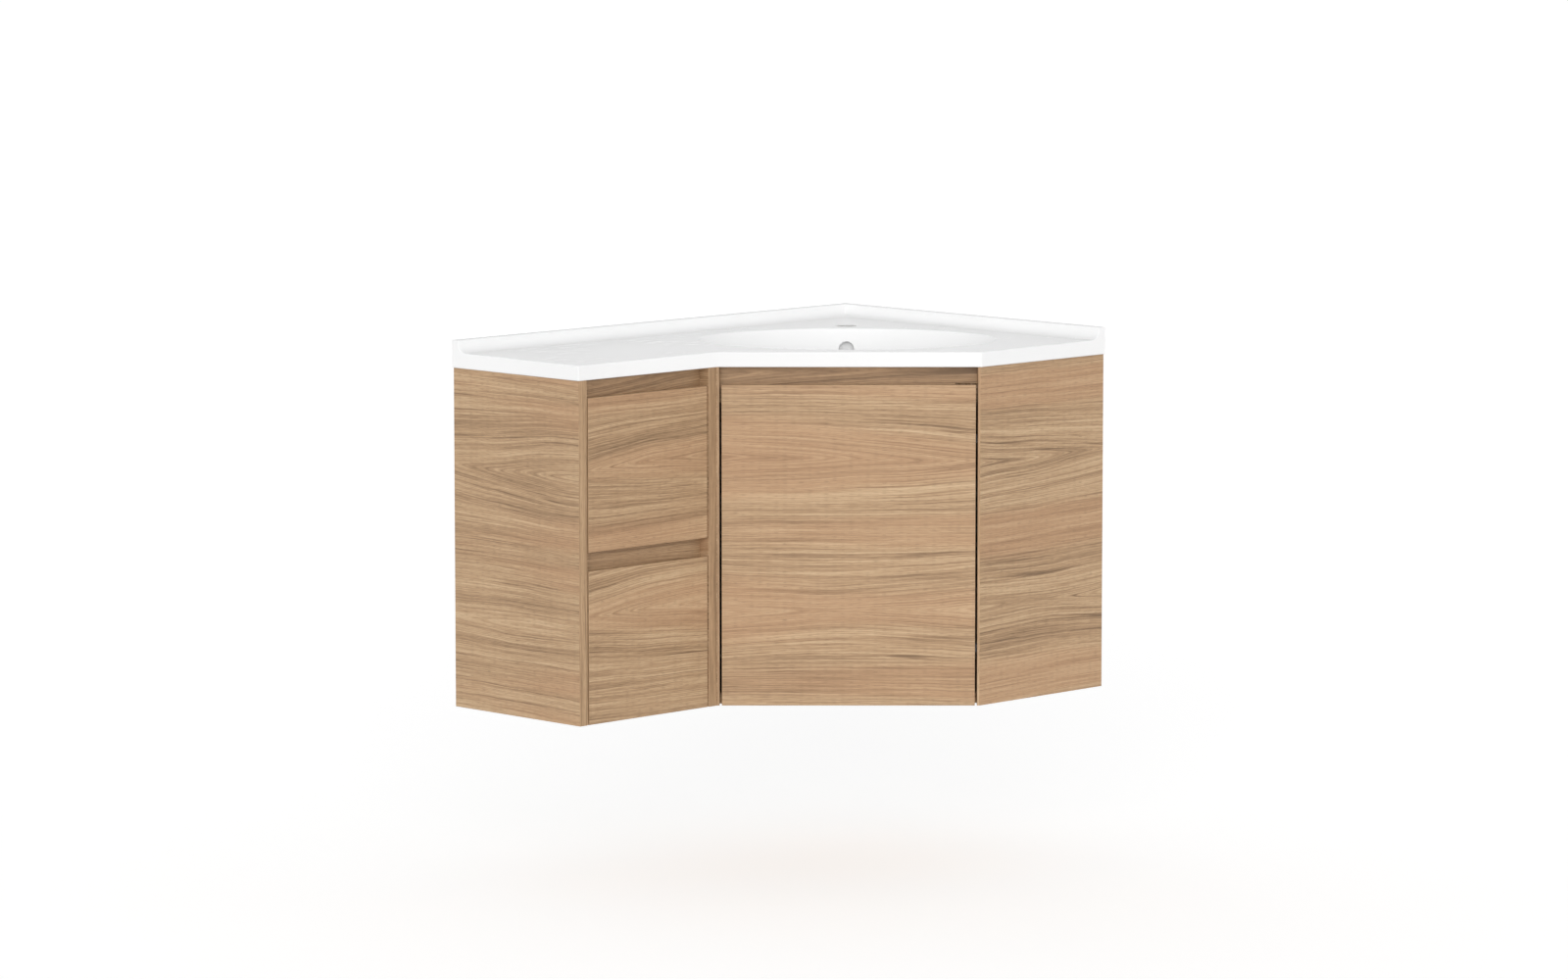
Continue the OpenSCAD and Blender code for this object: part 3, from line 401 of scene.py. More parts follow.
def finished(work, name, materials, body, slot, *nodes):
    """Makes a piece of the form, with its flat faces shaded flat between rounded edges."""
    mesh = bpy.data.meshes.new(name)
    work.to_mesh(mesh)
    work.free()
    for material in materials:
        mesh.materials.append(material)
    piece = as_piece(mesh, name, body, nodes, BOARD_CREASE)
    flat = piece.modifiers.new("flat_faces", "WEIGHTED_NORMAL")
    flat.keep_sharp = True
    flat.weight = 100
    return piece


def lay_grain(work, through, grain, start, sawn):
    """Maps each face in metres along its grain, and gives it its material: 0 for the board's
    faces, 1 for banded edges, 2 for sawn edges and holes."""
    layer = work.loops.layers.uv.new("grain")
    cross = through.cross(grain)
    depths = [vertex.co.dot(through) for vertex in work.verts]
    near, other = min(depths), max(depths)
    for face in work.faces:
        across = face.normal.dot(through)
        depth = face.calc_center_median().dot(through)
        small = max(edge.calc_length() for edge in face.edges) < LEAST_EDGE
        if abs(across) > FACE_LEAN:
            first, second = grain, cross
            face.material_index = 0 if min(depth - near, other - depth) < FACE_DEEP else 2
        else:
            outward = (face.normal - through * across).normalized()
            first, second = outward.cross(through), through
            bare = any(outward.dot(side) > EDGE_LEAN for side in sawn)
            in_a_bore = small and abs(across) < BORE_LEAN
            face.material_index = 2 if bare or in_a_bore else 1
        shift = BAND_SHIFT * start[0] * (face.material_index > 0) + start[1]
        for loop in face.loops:
            loop[layer].uv = (loop.vert.co.dot(first) + start[0],
                              loop.vert.co.dot(second) + shift)


def board(node, body, through, grain, start, sawn=(), finish=(oak_face, oak_band, chipboard),
          slot="oak_board"):
    """A faced board in place of its node. The start is its place along and across the log."""
    work = merged_copy(node)
    ease_edges(work, BOARD_EASE, 2, lambda edge: edge.calc_length() > LEAST_EDGE)
    lay_grain(work, through, grain, start, sawn)
    return finished(work, node + "_board", finish, body, slot, node)


board("left_end_panel", "cabinet", X_WAY, Y_WAY, (2.384, 0.092), (Y_WAY, Z_WAY))
for node, start in (("drawer_gable", (3.15, 0.2)), ("corner_gable", (4.45, 0.1))):
    board(node, "cabinet", X_WAY, Y_WAY, start, (Y_WAY, Z_WAY), (oak_face, dark_band, chipboard))
board("right_end_panel", "cabinet", Y_WAY, X_WAY, (6.50, 0.396), (X_WAY, Z_WAY))

# ---------------------------------------------------------------------------
# Bases: the oblong floor of the drawer wing and the five-sided floor of the
# cupboard, each cut from one oak-faced board and held between the gables by
# cams from below. Only their front edges are banded.
# ---------------------------------------------------------------------------
board("drawer_bay_base", "cabinet", Z_WAY, X_WAY, (7.10, 0.0), (X_WAY, -X_WAY, Y_WAY))
board("corner_base", "cabinet", Z_WAY, X_WAY, (8.35, 0.1), (X_WAY, -X_WAY, Y_WAY, -Y_WAY))

# ---------------------------------------------------------------------------
# Pull rails: oak-faced rails, which stand behind the finger recesses over the
# drawers and the door. Their oak is drawn darker, as painted shade for the recesses.
# Cams hold them, and the door's has two brackets.
# ---------------------------------------------------------------------------
# Painted shade: the pull rails' oak is drawn darker than the faces, for the shade of the finger
# recesses
painted_shade_rail_oak = (make_oak("painted_shade_rail_oak", 0.6, 0.8, 0.16), oak_band, chipboard)
painted_shade_door_rail_oak = (make_oak("painted_shade_door_rail_oak", 0.6, 0.8, 0.235), oak_band, chipboard)
board("drawer_top_rail", "cabinet", Y_WAY, X_WAY, (9.60, 0.05), (X_WAY, -X_WAY, Z_WAY),
      painted_shade_door_rail_oak)
board("drawer_mid_rail", "cabinet", Y_WAY, X_WAY, (10.3, 0.17), (X_WAY, -X_WAY), painted_shade_rail_oak)
board("door_pull_rail", "cabinet", DOOR_IN, DOOR_WAY, (11.2, 0.05),
      (X_WAY, -X_WAY, Y_WAY, -Y_WAY, Z_WAY), painted_shade_door_rail_oak)

# ---------------------------------------------------------------------------
# Wall rails and backs: chipboard rails and thin panels with a plain white
# melamine face. The hanging rails take the wall screws, and the panels are
# nailed to the rails and close the back.
# ---------------------------------------------------------------------------
LINING_WHITE = (0.795, 0.782, 0.755, 1)
LINING_SHADE = (0.775, 0.760, 0.730, 1)


def make_melamine():
    """White melamine: a pressed pearl grain, slightly uneven in tone and sheen."""
    group, spot, given = shader_group("white_melamine", Fine=950.0, Rough=0.36)
    cloud = noise(group, spot, 9.0, 3.0)
    return giving(group, Color=mixed(group, rise(group, cloud, 0.35, 0.70), LINING_WHITE,
                                     LINING_SHADE),
                  Roughness=calc(group, "MULTIPLY_ADD", cloud, 0.18, given["Rough"]),
                  Height=noise(group, spot, given["Fine"], 2.0))


melamine = make_melamine()
lining_face, lining_band = (
    new_material(name, melamine, (0.22, 0.00012), {"Specular IOR Level": 0.4}, Fine=fine,
                 Rough=rough)
    for name, fine, rough in (("white_lining", 950.0, 0.36), ("white_edge_band", 1600.0, 0.30)))
LINED = {"finish": (lining_face, lining_band, chipboard), "slot": "lining_board"}

for part in ("drawers", "long"):
    for kind in ("hanging_rail_", "lower_rail_"):
        board(kind + part, "cabinet", Y_WAY, X_WAY, (1.0, 0.0), (X_WAY, -X_WAY, Z_WAY), **LINED)
for kind in ("hanging_rail_short", "lower_rail_short"):
    board(kind, "cabinet", X_WAY, Y_WAY, (1.5, 0.0), (Y_WAY, -Y_WAY, Z_WAY), **LINED)
for node in ("drawer_bay_back", "corner_back_long"):
    board(node, "cabinet", Y_WAY, X_WAY, (2.0, 0.0), (X_WAY, -X_WAY, Z_WAY, -Z_WAY), **LINED)
board("corner_back_short", "cabinet", X_WAY, Y_WAY, (2.5, 0.0), (Y_WAY, -Y_WAY, Z_WAY, -Z_WAY),
      **LINED)

# ---------------------------------------------------------------------------
# Screws and cam fittings: zinc-plated steel, turned or cast, each with a
# cross slot. They lie where the boards' own holes are.
# ---------------------------------------------------------------------------
ZINC = (0.62, 0.63, 0.65, 1)
ZINC_DULL = (0.44, 0.45, 0.47, 1)
ZINC_WARM = (0.66, 0.63, 0.56, 1)
HEAD_SIDES, SHANK_SIDES = 32, 16
HEAD_CREASE = 40                # degrees from which an edge stays sharp in the shading
ROUND_WITHIN = 1e-4             # a fitting seen along its axis is as wide as it is high


def make_worn_metal():
    """Fine scratches both ways, a cloudy bloom, and dark specks where the plating is thin."""
    group, spot, given = shader_group("worn_metal", Clean=ZINC, Dull=ZINC_DULL, Scratches=0.5,
                                      Smooth=0.2)
    cloud, specks = noise(group, spot, 55.0, 4.0), noise(group, spot, 1500.0, 1.0)
    lines = [noise(group, scaled(group, spot, (60.0, 2400.0, 2400.0), (turn, 0.3, turn)), 1.0, 1.0)
             for turn in (0.4, 2.1)]
    scratch = rise(group, calc(group, "MAXIMUM", *lines), 0.62, 0.80)
    scratch = calc(group, "MULTIPLY", scratch, given["Scratches"])
    bloom = rise(group, cloud, 0.38, 0.72)
    colour = mixed(group, calc(group, "MULTIPLY", bloom, 0.7), given["Clean"], given["Dull"])
    thin = calc(group, "MULTIPLY", rise(group, specks, 0.66, 0.80), 0.5)
    rough = calc(group, "MULTIPLY_ADD", scratch, 0.12, given["Smooth"])
    return giving(group, Color=mixed(group, thin, colour, given["Dull"]),
                  Roughness=calc(group, "MULTIPLY_ADD", bloom, 0.16, rough),
                  Height=calc(group, "SUBTRACT", calc(group, "MULTIPLY", specks, 0.3), scratch))


worn_metal = make_worn_metal()


def make_metal(name, clean, dull, scratches, smooth, bump=(0.15, 0.0001)):
    """Plated or cast metal with the wear of handling."""
    return new_material(name, worn_metal, bump, {"Metallic": 1.0}, Clean=clean, Dull=dull,
                        Scratches=scratches, Smooth=smooth)


zinc_plate = make_metal("zinc_plate", ZINC, ZINC_DULL, 0.6, 0.26)
cast_zinc = make_metal("cast_zinc", ZINC_WARM, ZINC_DULL, 0.3, 0.38)


def make_slotted_fittings():
    """A domed head with a cross slot and a plain shank, set at each point along its axis."""
    tree = bpy.data.node_groups.new("slotted_fittings", "GeometryNodeTree")
    tree.interface.new_socket("Geometry", in_out="INPUT", socket_type="NodeSocketGeometry")
    for label, value in (("Head Radius", 0.0035), ("Head Height", 0.0018), ("Crown", 0.0006),
                         ("Slot Length", 0.0044), ("Slot Width", 0.0009), ("Slot Depth", 0.0009),
                         ("Shank Radius", 0.0017), ("Shank Length", 0.012)):
        tree.interface.new_socket(label, in_out="INPUT",
                                  socket_type="NodeSocketFloat").default_value = value
    tree.interface.new_socket("Seed", in_out="INPUT", socket_type="NodeSocketInt")
    tree.interface.new_socket("Finish", in_out="INPUT", socket_type="NodeSocketMaterial")
    tree.interface.new_socket("Geometry", in_out="OUTPUT", socket_type="NodeSocketGeometry")
    given = place(tree, "NodeGroupInput").outputs

    def spot(x=0.0, y=0.0, z=0.0):
        return place(tree, "ShaderNodeCombineXYZ", X=x, Y=y, Z=z).outputs[0]

    # The head lies below z = 0, and its crown falls away to the rim
    head = place(tree, "GeometryNodeMeshCylinder", Vertices=HEAD_SIDES, Side_Segments=1,
                 Fill_Segments=4, Radius=given["Head Radius"], Depth=given["Head Height"])
    down = place(tree, "GeometryNodeTransform", Geometry=head.outputs["Mesh"],
                 Translation=spot(z=calc(tree, "MULTIPLY", given["Head Height"],
                                         -0.5))).outputs[0]
    here = place(tree, "ShaderNodeSeparateXYZ",
                 Vector=tree.nodes.new("GeometryNodeInputPosition").outputs[0]).outputs
    reach = calc(tree, "SQRT", calc(tree, "ADD", calc(tree, "POWER", here["X"], 2.0),
                                    calc(tree, "POWER", here["Y"], 2.0)))
    reach = calc(tree, "DIVIDE", reach, given["Head Radius"])
    fall = calc(tree, "MULTIPLY", calc(tree, "POWER", reach, 3.0), given["Crown"])
    on_top = calc(tree, "GREATER_THAN", here["Z"],
                  calc(tree, "MULTIPLY", given["Head Height"], -0.5))
    fall = calc(tree, "MULTIPLY", calc(tree, "MULTIPLY", fall, on_top), -1.0)
    domed = place(tree, "GeometryNodeSetPosition", Geometry=down, Offset=spot(z=fall))
    bars = []
    for length, width in (("Slot Length", "Slot Width"), ("Slot Width", "Slot Length")):
        size = spot(given[length], given[width], calc(tree, "MULTIPLY", given["Slot Depth"], 2.0))
        bars.append(place(tree, "GeometryNodeMeshCube", Size=size).outputs["Mesh"])
    slotted = place(tree, "GeometryNodeMeshBoolean",
                    {"operation": "DIFFERENCE", "solver": "EXACT"})
    feed(tree, slotted.inputs["Mesh 1"], domed.outputs[0])
    for bar in bars:
        feed(tree, slotted.inputs["Mesh 2"], bar)
    shank = place(tree, "GeometryNodeMeshCylinder", Vertices=SHANK_SIDES,
                  Radius=given["Shank Radius"], Depth=given["Shank Length"])
    low = calc(tree, "ADD", calc(tree, "MULTIPLY", given["Shank Length"], 0.5),
               given["Head Height"])
    low = calc(tree, "MULTIPLY", low, -1.0)
    shank = place(tree, "GeometryNodeTransform", Geometry=shank.outputs["Mesh"],
                  Translation=spot(z=low)).outputs[0]
    whole = place(tree, "GeometryNodeJoinGeometry")
    feed(tree, whole.inputs[0], slotted.outputs[0])
    feed(tree, whole.inputs[0], shank)
    axis = place(tree, "GeometryNodeInputNamedAttribute", {"data_type": "FLOAT_VECTOR"},
                 Name="axis").outputs["Attribute"]
    facing = place(tree, "FunctionNodeAlignRotationToVector", {"axis": "Z"}, Vector=axis)
    turn = place(tree, "FunctionNodeRandomValue", {"data_type": "FLOAT"})
    for socket in turn.inputs:
        if socket.enabled and socket.name in ("Min", "Max"):
            socket.default_value = 0.0 if socket.name == "Min" else math.pi / 2
    feed(tree, turn.inputs["Seed"], given["Seed"])
    amount = next(socket for socket in turn.outputs if socket.enabled)
    turned = place(tree, "FunctionNodeRotateRotation", {"rotation_space": "LOCAL"},
                   Rotation=facing.outputs[0], Rotate_By=spot(z=amount))
    points = place(tree, "GeometryNodeMeshToPoints", Mesh=given["Geometry"])
    laid = place(tree, "GeometryNodeInstanceOnPoints", Points=points.outputs[0],
                 Instance=whole.outputs[0], Rotation=turned.outputs[0])
    real = place(tree, "GeometryNodeRealizeInstances", Geometry=laid.outputs[0])
    done = place(tree, "GeometryNodeSetMaterial", Geometry=real.outputs[0],
                 Material=given["Finish"])
    place(tree, "NodeGroupOutput", Geometry=done.outputs[0])
    return tree


slotted_fittings = make_slotted_fittings()


def fit(name, places, body, slot, finish, *nodes, seed=1, **sizes):
    """Sets a fitting at each (place, outward axis), as one plain mesh."""
    carrier_mesh = bpy.data.meshes.new(name + "_places")
    carrier_mesh.from_pydata([spot for spot, axis in places], [], [])
    axes = carrier_mesh.attributes.new("axis", "FLOAT_VECTOR", "POINT")
    for item, (spot, axis) in zip(axes.data, places):
        item.vector = axis
    carrier = add(name + "_places", carrier_mesh)
    made_by = carrier.modifiers.new("fittings", "NODES")
    made_by.node_group = slotted_fittings
    wanted = {label.replace("_", " "): value for label, value in sizes.items()}
    wanted.update({"Seed": seed, "Finish": finish})
    for item in slotted_fittings.interface.items_tree:
        if item.in_out == "INPUT" and item.name in wanted:
            made_by[item.identifier] = wanted[item.name]
    mesh = bpy.data.meshes.new_from_object(
        carrier.evaluated_get(bpy.context.evaluated_depsgraph_get()))
    mesh.name = name
    bpy.data.objects.remove(carrier)
    return as_piece(mesh, name, body, nodes, HEAD_CREASE)


def slotted_places(node, *ways):
    """Where the node's fittings are: the middle of each slotted end and the way it faces."""
    work = merged_copy(node)
    waiting, found = set(work.verts), []
    while waiting:
        island, front = set(), [waiting.pop()]
        while front:
            vertex = front.pop()
            island.add(vertex)
            for edge in vertex.link_edges:
                other = edge.other_vert(vertex)
                if other in waiting:
                    waiting.remove(other)
                    front.append(other)
        for way in ways:
            sides = (way.cross(Z_WAY if abs(way.z) < 0.5 else X_WAY).normalized(),)
            sides += (way.cross(sides[0]),)
            spans = [[min(v.co.dot(side) for v in island), max(v.co.dot(side) for v in island)]
                     for side in sides]
            if abs((spans[0][1] - spans[0][0]) - (spans[1][1] - spans[1][0])) > ROUND_WITHIN:
                continue
            levels = sorted({round(v.co.dot(way), 5) for v in island})
            slot_in_low_end = levels[1] - levels[0] < levels[-1] - levels[-2]
            end, facing = (levels[0], -way) if slot_in_low_end else (levels[-1], way)
            middle = sum((side * (span[0] + span[1]) / 2 for side, span in zip(sides, spans)),
                         way * end)
            found.append((middle, facing))
            break
    work.free()
    return sorted(found, key=lambda item: tuple(round(value, 5) for value in item[0]))


fit("cam_lock_bodies", slotted_places("cam_locks", X_WAY, Y_WAY, Z_WAY, DOOR_IN, DOOR_WAY),
    "cabinet", "zinc_plated_steel", cast_zinc, "cam_locks", seed=3, Head_Radius=0.0075,
    Head_Height=0.0125, Crown=0.0004, Slot_Length=0.0075, Slot_Width=0.0016, Slot_Depth=0.002,
    Shank_Radius=0.001, Shank_Length=0.0002)

for node in ("cam_bolts", "joining_sleeves", "joining_screws"):
    finished(merged_copy(node), node + "_steel", (zinc_plate,), "cabinet", "zinc_plated_steel",
             node)

# ---------------------------------------------------------------------------
# Brackets: two short angles of folded zinc-plated strip that hold the ends of
# the door's pull rail to the mitred gables.
# ---------------------------------------------------------------------------
FOLD_EASE = 0.0004


def eased(node, name, finish, body, slot, ease, least):
    """A piece of one material in place of its node, with the edges that are long enough broken."""
    work = merged_copy(node)
    ease_edges(work, ease, 2, lambda edge: edge.calc_length() > least)
    return finished(work, name, (finish,), body, slot, node)


def pressed(node, body, finish, slot="zinc_plated_steel", ease=FOLD_EASE):
    """A pressed or folded metal part."""
    return eased(node, node + "_metal", finish, body, slot, ease, 3 * ease)


pressed("pull_rail_brackets", "cabinet", zinc_plate)

# ---------------------------------------------------------------------------
# Top: one white casting of slab, upstand and bowl, with a glossy gel coat. The
# coves and rims are part of the mould. It lies on the cabinet's top edges.
# ---------------------------------------------------------------------------
SLAB_LOW, DECK, UPSTAND_TOP = 0.550, 0.575, 0.595
SLAB_PLAN = [(-0.45, 0.29825), (-0.45, 0.00225), (-0.14474, 0.00225), (0.15576, -0.29825),
             (0.45, -0.29825), (0.45, 0.29825)]
UPSTAND_DEEP, COVE = 0.015, 0.016
COVE_STEPS = 12
SLAB_EASE = 0.0018
LEVEL, DOWNWARDS = 0.999, -0.98
BOWL_LONG, BOWL_WIDE, BOWL_DEEP = 0.243, 0.179, 0.125       # half the rim's sizes, and depth
BOWL_AT, BOWL_LEAN, BOWL_WALL = 0.209, 0.35, 0.008
WALL_FOOT, FLOOR_EDGE = (0.84, 0.55), (0.16, 0.97)          # shares of the radius and depth
FOOT_STEPS, OUTLINE_STEP, SOFTENINGS = 24, 0.003, 14
RIM_ROUND, RIM_CREASE = 0.0042, 9.0                         # radius, and degrees left sharp
RIM_STEPS, BOWL_SIDES = 6, 168
RING_GAP, FLAT_SHARE = 0.002, 0.25                          # least step, and where rings end
WASTE_AT = BOWL_AT + BOWL_LEAN * BOWL_DEEP
SEAT_RADIUS, SEAT_LOW, WASTE_HOLE = 0.0325, 0.447, 0.023
SEAT_ROUND = 0.0009
TAP_AT, TAP_HOLE = 0.431, 0.0175
TAP_EASE, TAP_EASE_LOW = 0.001, 0.0006
OVERFLOW_Z, OVERFLOW_RADIUS, OVERFLOW_SIDES = 0.540, 0.013, 72
OVERFLOW_FROM, OVERFLOW_TO = 0.150, 0.196                   # from the bowl's middle, inwards
DOOR_MIDDLE = (0.00675, -0.145)
GEL_WHITE, GEL_SHADE = (0.945, 0.945, 0.945, 1), (0.925, 0.927, 0.925, 1)
STONE_DARK, STONE_PALE = (0.50, 0.495, 0.48, 1), (0.73, 0.725, 0.71, 1)


def by_door(x, y, z):
    """A point given from the middle of the door's face: right, inwards and up."""
    return Vector((*DOOR_MIDDLE, z)) + DOOR_WAY * x + DOOR_IN * y


def half_outline(long_by, deep):
    """(share of the half length, depth) from the rim to the middle of the floor, softened
    where the wall turns into the floor."""
    corners = [(1.0, 0.0), (WALL_FOOT[0], WALL_FOOT[1] * deep)]
    for step in range(1, FOOT_STEPS + 1):
        turn = math.pi / 2 * step / FOOT_STEPS
        corners.append((FLOOR_EDGE[0] + (WALL_FOOT[0] - FLOOR_EDGE[0]) * math.cos(turn),
                        (WALL_FOOT[1] + (FLOOR_EDGE[1] - WALL_FOOT[1]) * math.sin(turn)) * deep))
    corners.append((0.0, deep))
    even = []
    for (r0, d0), (r1, d1) in zip(corners, corners[1:]):
        pieces = max(1, round(math.hypot((r1 - r0) * long_by, d1 - d0) / OUTLINE_STEP))
        even += [(r0 + (r1 - r0) * k / pieces, d0 + (d1 - d0) * k / pieces)
                 for k in range(pieces)]
    even.append(corners[-1])
    for _ in range(SOFTENINGS):
        even = [even[0]] + [tuple((a + 2 * b + c) / 4 for a, b, c in zip(*three))
                            for three in zip(even, even[1:], even[2:])] + [even[-1]]
    return even


def depth_at(outline, share):
    """The outline's depth at a share of the radius."""
    for (r0, d0), (r1, d1) in zip(outline, outline[1:]):
        if r1 <= share <= r0:
            return d0 + (d1 - d0) * (r0 - share) / max(r0 - r1, 1e-9)
    return outline[-1][1]


def oval(share, depth, angle, grown=0.0):
    """A point of the leaning bowl."""
    return by_door((BOWL_LONG + grown) * share * math.cos(angle),
                   BOWL_AT + BOWL_LEAN * depth + (BOWL_WIDE + grown) * share * math.sin(angle),
                   DECK - depth)


def ring(work, points):
    """Corners at the points, in their order."""
    return [work.verts.new(point) for point in points]


def bridge(work, rings):
    """Quads between each ring and the next, which have the same count."""
    for first, second in zip(rings, rings[1:]):
        for i in range(len(first)):
            after = (i + 1) % len(first)
            work.faces.new((first[i], first[after], second[after], second[i]))


def plate_with_holes(work, outer, holes):
    """Fills a flat face that has holes in it."""
    loops = [outer] + holes
    flat = [vertex for loop in loops for vertex in loop]
    for triple in tessellate_polygon([[vertex.co for vertex in loop] for loop in loops]):
        work.faces.new([flat[i] for i in triple])


def make_slab(work):
    """The slab with its upstand, coves and eased edges. Its deck and underside are taken out
    again, and the rings round them are given back."""
    profile = [(UPSTAND_DEEP + COVE * (1 + math.cos(turn)), COVE * (1 + math.sin(turn)))
               for turn in (math.radians(270 - 90 * k / COVE_STEPS)
                            for k in range(COVE_STEPS + 1))]
    profile += [(UPSTAND_DEEP, UPSTAND_TOP - DECK), (0.0, UPSTAND_TOP - DECK)]
    (left, back), right, near = SLAB_PLAN[0], SLAB_PLAN[5][0], SLAB_PLAN[4][1]
    rows = [ring(work, [(left, back - d, DECK + h), (right - d, back - d, DECK + h),
                        (right - d, near, DECK + h)]) for d, h in profile]
    low = ring(work, [(x, y, SLAB_LOW) for x, y in SLAB_PLAN])
    front = ring(work, [(x, y, DECK) for x, y in SLAB_PLAN[1:4]])
    for one, two in zip(rows, rows[1:]):
        for i in (0, 1):
            work.faces.new((one[i], one[i + 1], two[i + 1], two[i]))
    top = rows[-1]
    for face in ((top[0], top[1], low[5], low[0]), (top[1], top[2], low[4], low[5]),
                 [row[0] for row in rows] + [low[0], low[1], front[0]],
                 [row[2] for row in rows] + [low[4], low[3], front[2]],
                 (front[0], low[1], low[2], front[1]), (front[1], low[2], low[3], front[2]),
                 low, rows[0] + front[::-1]):
        work.faces.new(face)
    bmesh.ops.recalc_face_normals(work, faces=work.faces)

    def off_the_walls(edge):
        return not (all(v.co.y > back - 1e-5 for v in edge.verts)
                    or all(v.co.x > right - 1e-5 for v in edge.verts))
    ease_edges(work, SLAB_EASE, 3, off_the_walls)
    flat = [max((face for face in work.faces if face.normal.z * sign > LEVEL),
                key=lambda face: face.calc_area()) for sign in (1, -1)]
    around = [[loop.vert for loop in face.loops] for face in flat]
    bmesh.ops.delete(work, geom=flat, context="FACES_ONLY")
    return around


def make_bowl(work, turns):
    """The bowl inside and out, with its rounded rim and the waste's stepped seat. The rings in
    the deck and in the underside are given back."""
    mean = (BOWL_LONG + BOWL_WIDE) / 2
    inner = half_outline(mean, BOWL_DEEP)
    wall = math.atan2((1 - WALL_FOOT[0]) * mean, WALL_FOOT[1] * BOWL_DEEP)
    shift = RIM_ROUND / math.tan((math.pi / 2 + wall) / 2)
    crease = math.radians(RIM_CREASE)
    rings = []
    for k in range(RIM_STEPS + 1):
        turn = crease + (math.pi / 2 - wall - crease) * k / RIM_STEPS
        rings.append((1 + (shift - RIM_ROUND * math.sin(turn)) / mean,
                      RIM_ROUND * (1 - math.cos(turn))))
    rings += [(share, depth) for share, depth in inner
              if depth > rings[-1][1] + RING_GAP and share > FLAT_SHARE]
    rings[0] = (rings[0][0], 0.0)       # the rim itself lies in the deck
    made = [ring(work, [oval(share, depth, turn) for turn in turns]) for share, depth in rings]
    last_share = rings[-1][0]
    middle = by_door(0, WASTE_AT, 0)

    def share_at(turn, radius):
        """Halves the way to the share of the outline that lies at a radius from the waste."""
        low_share, high_share = 0.03, last_share
        for _ in range(30):
            share = (low_share + high_share) / 2
            away = (oval(share, depth_at(inner, share), turn) - middle).xy.length
            low_share, high_share = ((share, high_share) if away < radius
                                     else (low_share, share))
        return share
    seat_share = [share_at(turn, SEAT_RADIUS + SEAT_ROUND) for turn in turns]
    for part in (0.35, 0.7, 1.0):
        shares = [last_share + (share - last_share) * part for share in seat_share]
        made.append(ring(work, [oval(share, depth_at(inner, share), turn)
                                for share, turn in zip(shares, turns)]))
    seat_ring = [vertex.co.copy() for vertex in made[-1]]
    for radius, height in ((SEAT_RADIUS, None), (SEAT_RADIUS, SEAT_LOW), (WASTE_HOLE, SEAT_LOW),
                           (WASTE_HOLE, DECK - BOWL_DEEP - BOWL_WALL)):
        points = []
        for base in seat_ring:
            away = (base - middle).xy.normalized() * radius
            points.append((middle.x + away.x, middle.y + away.y,
                           base.z - SEAT_ROUND if height is None else height))
        made.append(ring(work, points))
    outer_deep, slab = BOWL_DEEP + BOWL_WALL, DECK - SLAB_LOW
    start = 1 - (1 - WALL_FOOT[0]) * slab / (WALL_FOOT[1] * outer_deep)
    shell = [(start, slab)] + [(share, depth) for share, depth in half_outline(mean, outer_deep)
                               if share > FLAT_SHARE and depth > slab + RING_GAP]
    shell_rings = [ring(work, [oval(share, depth, turn, BOWL_WALL) for turn in turns])
                   for share, depth in shell]
    bridge(work, made + shell_rings[::-1])
    return made[0], shell_rings[0]


def make_top():
    """Slab, bowl and tap hole as one closed form."""
    work = bmesh.new()
    deck_loop, low_loop = make_slab(work)
    turns = [math.tau * k / BOWL_SIDES for k in range(BOWL_SIDES)]
    deck_hole, low_hole = make_bowl(work, turns)
    tap_rings = [ring(work, [by_door(radius * math.cos(t), TAP_AT + radius * math.sin(t), height)
                             for t in turns[::2]])
                 for radius, height in ((TAP_HOLE + TAP_EASE, DECK), (TAP_HOLE, DECK - TAP_EASE),
                                        (TAP_HOLE, SLAB_LOW + TAP_EASE_LOW),
                                        (TAP_HOLE + TAP_EASE_LOW, SLAB_LOW))]
    bridge(work, tap_rings)
    plate_with_holes(work, deck_loop, [deck_hole, tap_rings[0]])
    plate_with_holes(work, low_loop, [low_hole, tap_rings[-1]])
    bmesh.ops.recalc_face_normals(work, faces=work.faces)
    return work


def cut_by(work, cutter):
    """Cuts one closed mesh out of another."""
    objects = []
    for name, form in (("kept", work), ("cutter", cutter)):
        mesh = bpy.data.meshes.new(name)
        form.to_mesh(mesh)
        form.free()
        objects.append(add(name, mesh))
    cut = objects[0].modifiers.new("cut", "BOOLEAN")
    cut.operation, cut.solver, cut.object = "DIFFERENCE", "EXACT", objects[1]
    mesh = bpy.data.meshes.new_from_object(
        objects[0].evaluated_get(bpy.context.evaluated_depsgraph_get()))
    for item in objects:
        bpy.data.objects.remove(item)
    result = bmesh.new()
    result.from_mesh(mesh)
    return result


def make_overflow_cutter():
    """The overflow's bore, through the bowl's back wall from inside."""
    cutter = bmesh.new()
    turns = [math.tau * k / OVERFLOW_SIDES for k in range(OVERFLOW_SIDES)]
    ends = []
    for y in (BOWL_AT + OVERFLOW_FROM, BOWL_AT + OVERFLOW_TO):
        ends.append(ring(cutter, [by_door(OVERFLOW_RADIUS * math.cos(t), y,
                                          OVERFLOW_Z + OVERFLOW_RADIUS * math.sin(t))
                                  for t in turns]))
    bridge(cutter, ends)
    for end in ends:
        cutter.faces.new(end)
    bmesh.ops.recalc_face_normals(cutter, faces=cutter.faces)
    return cutter


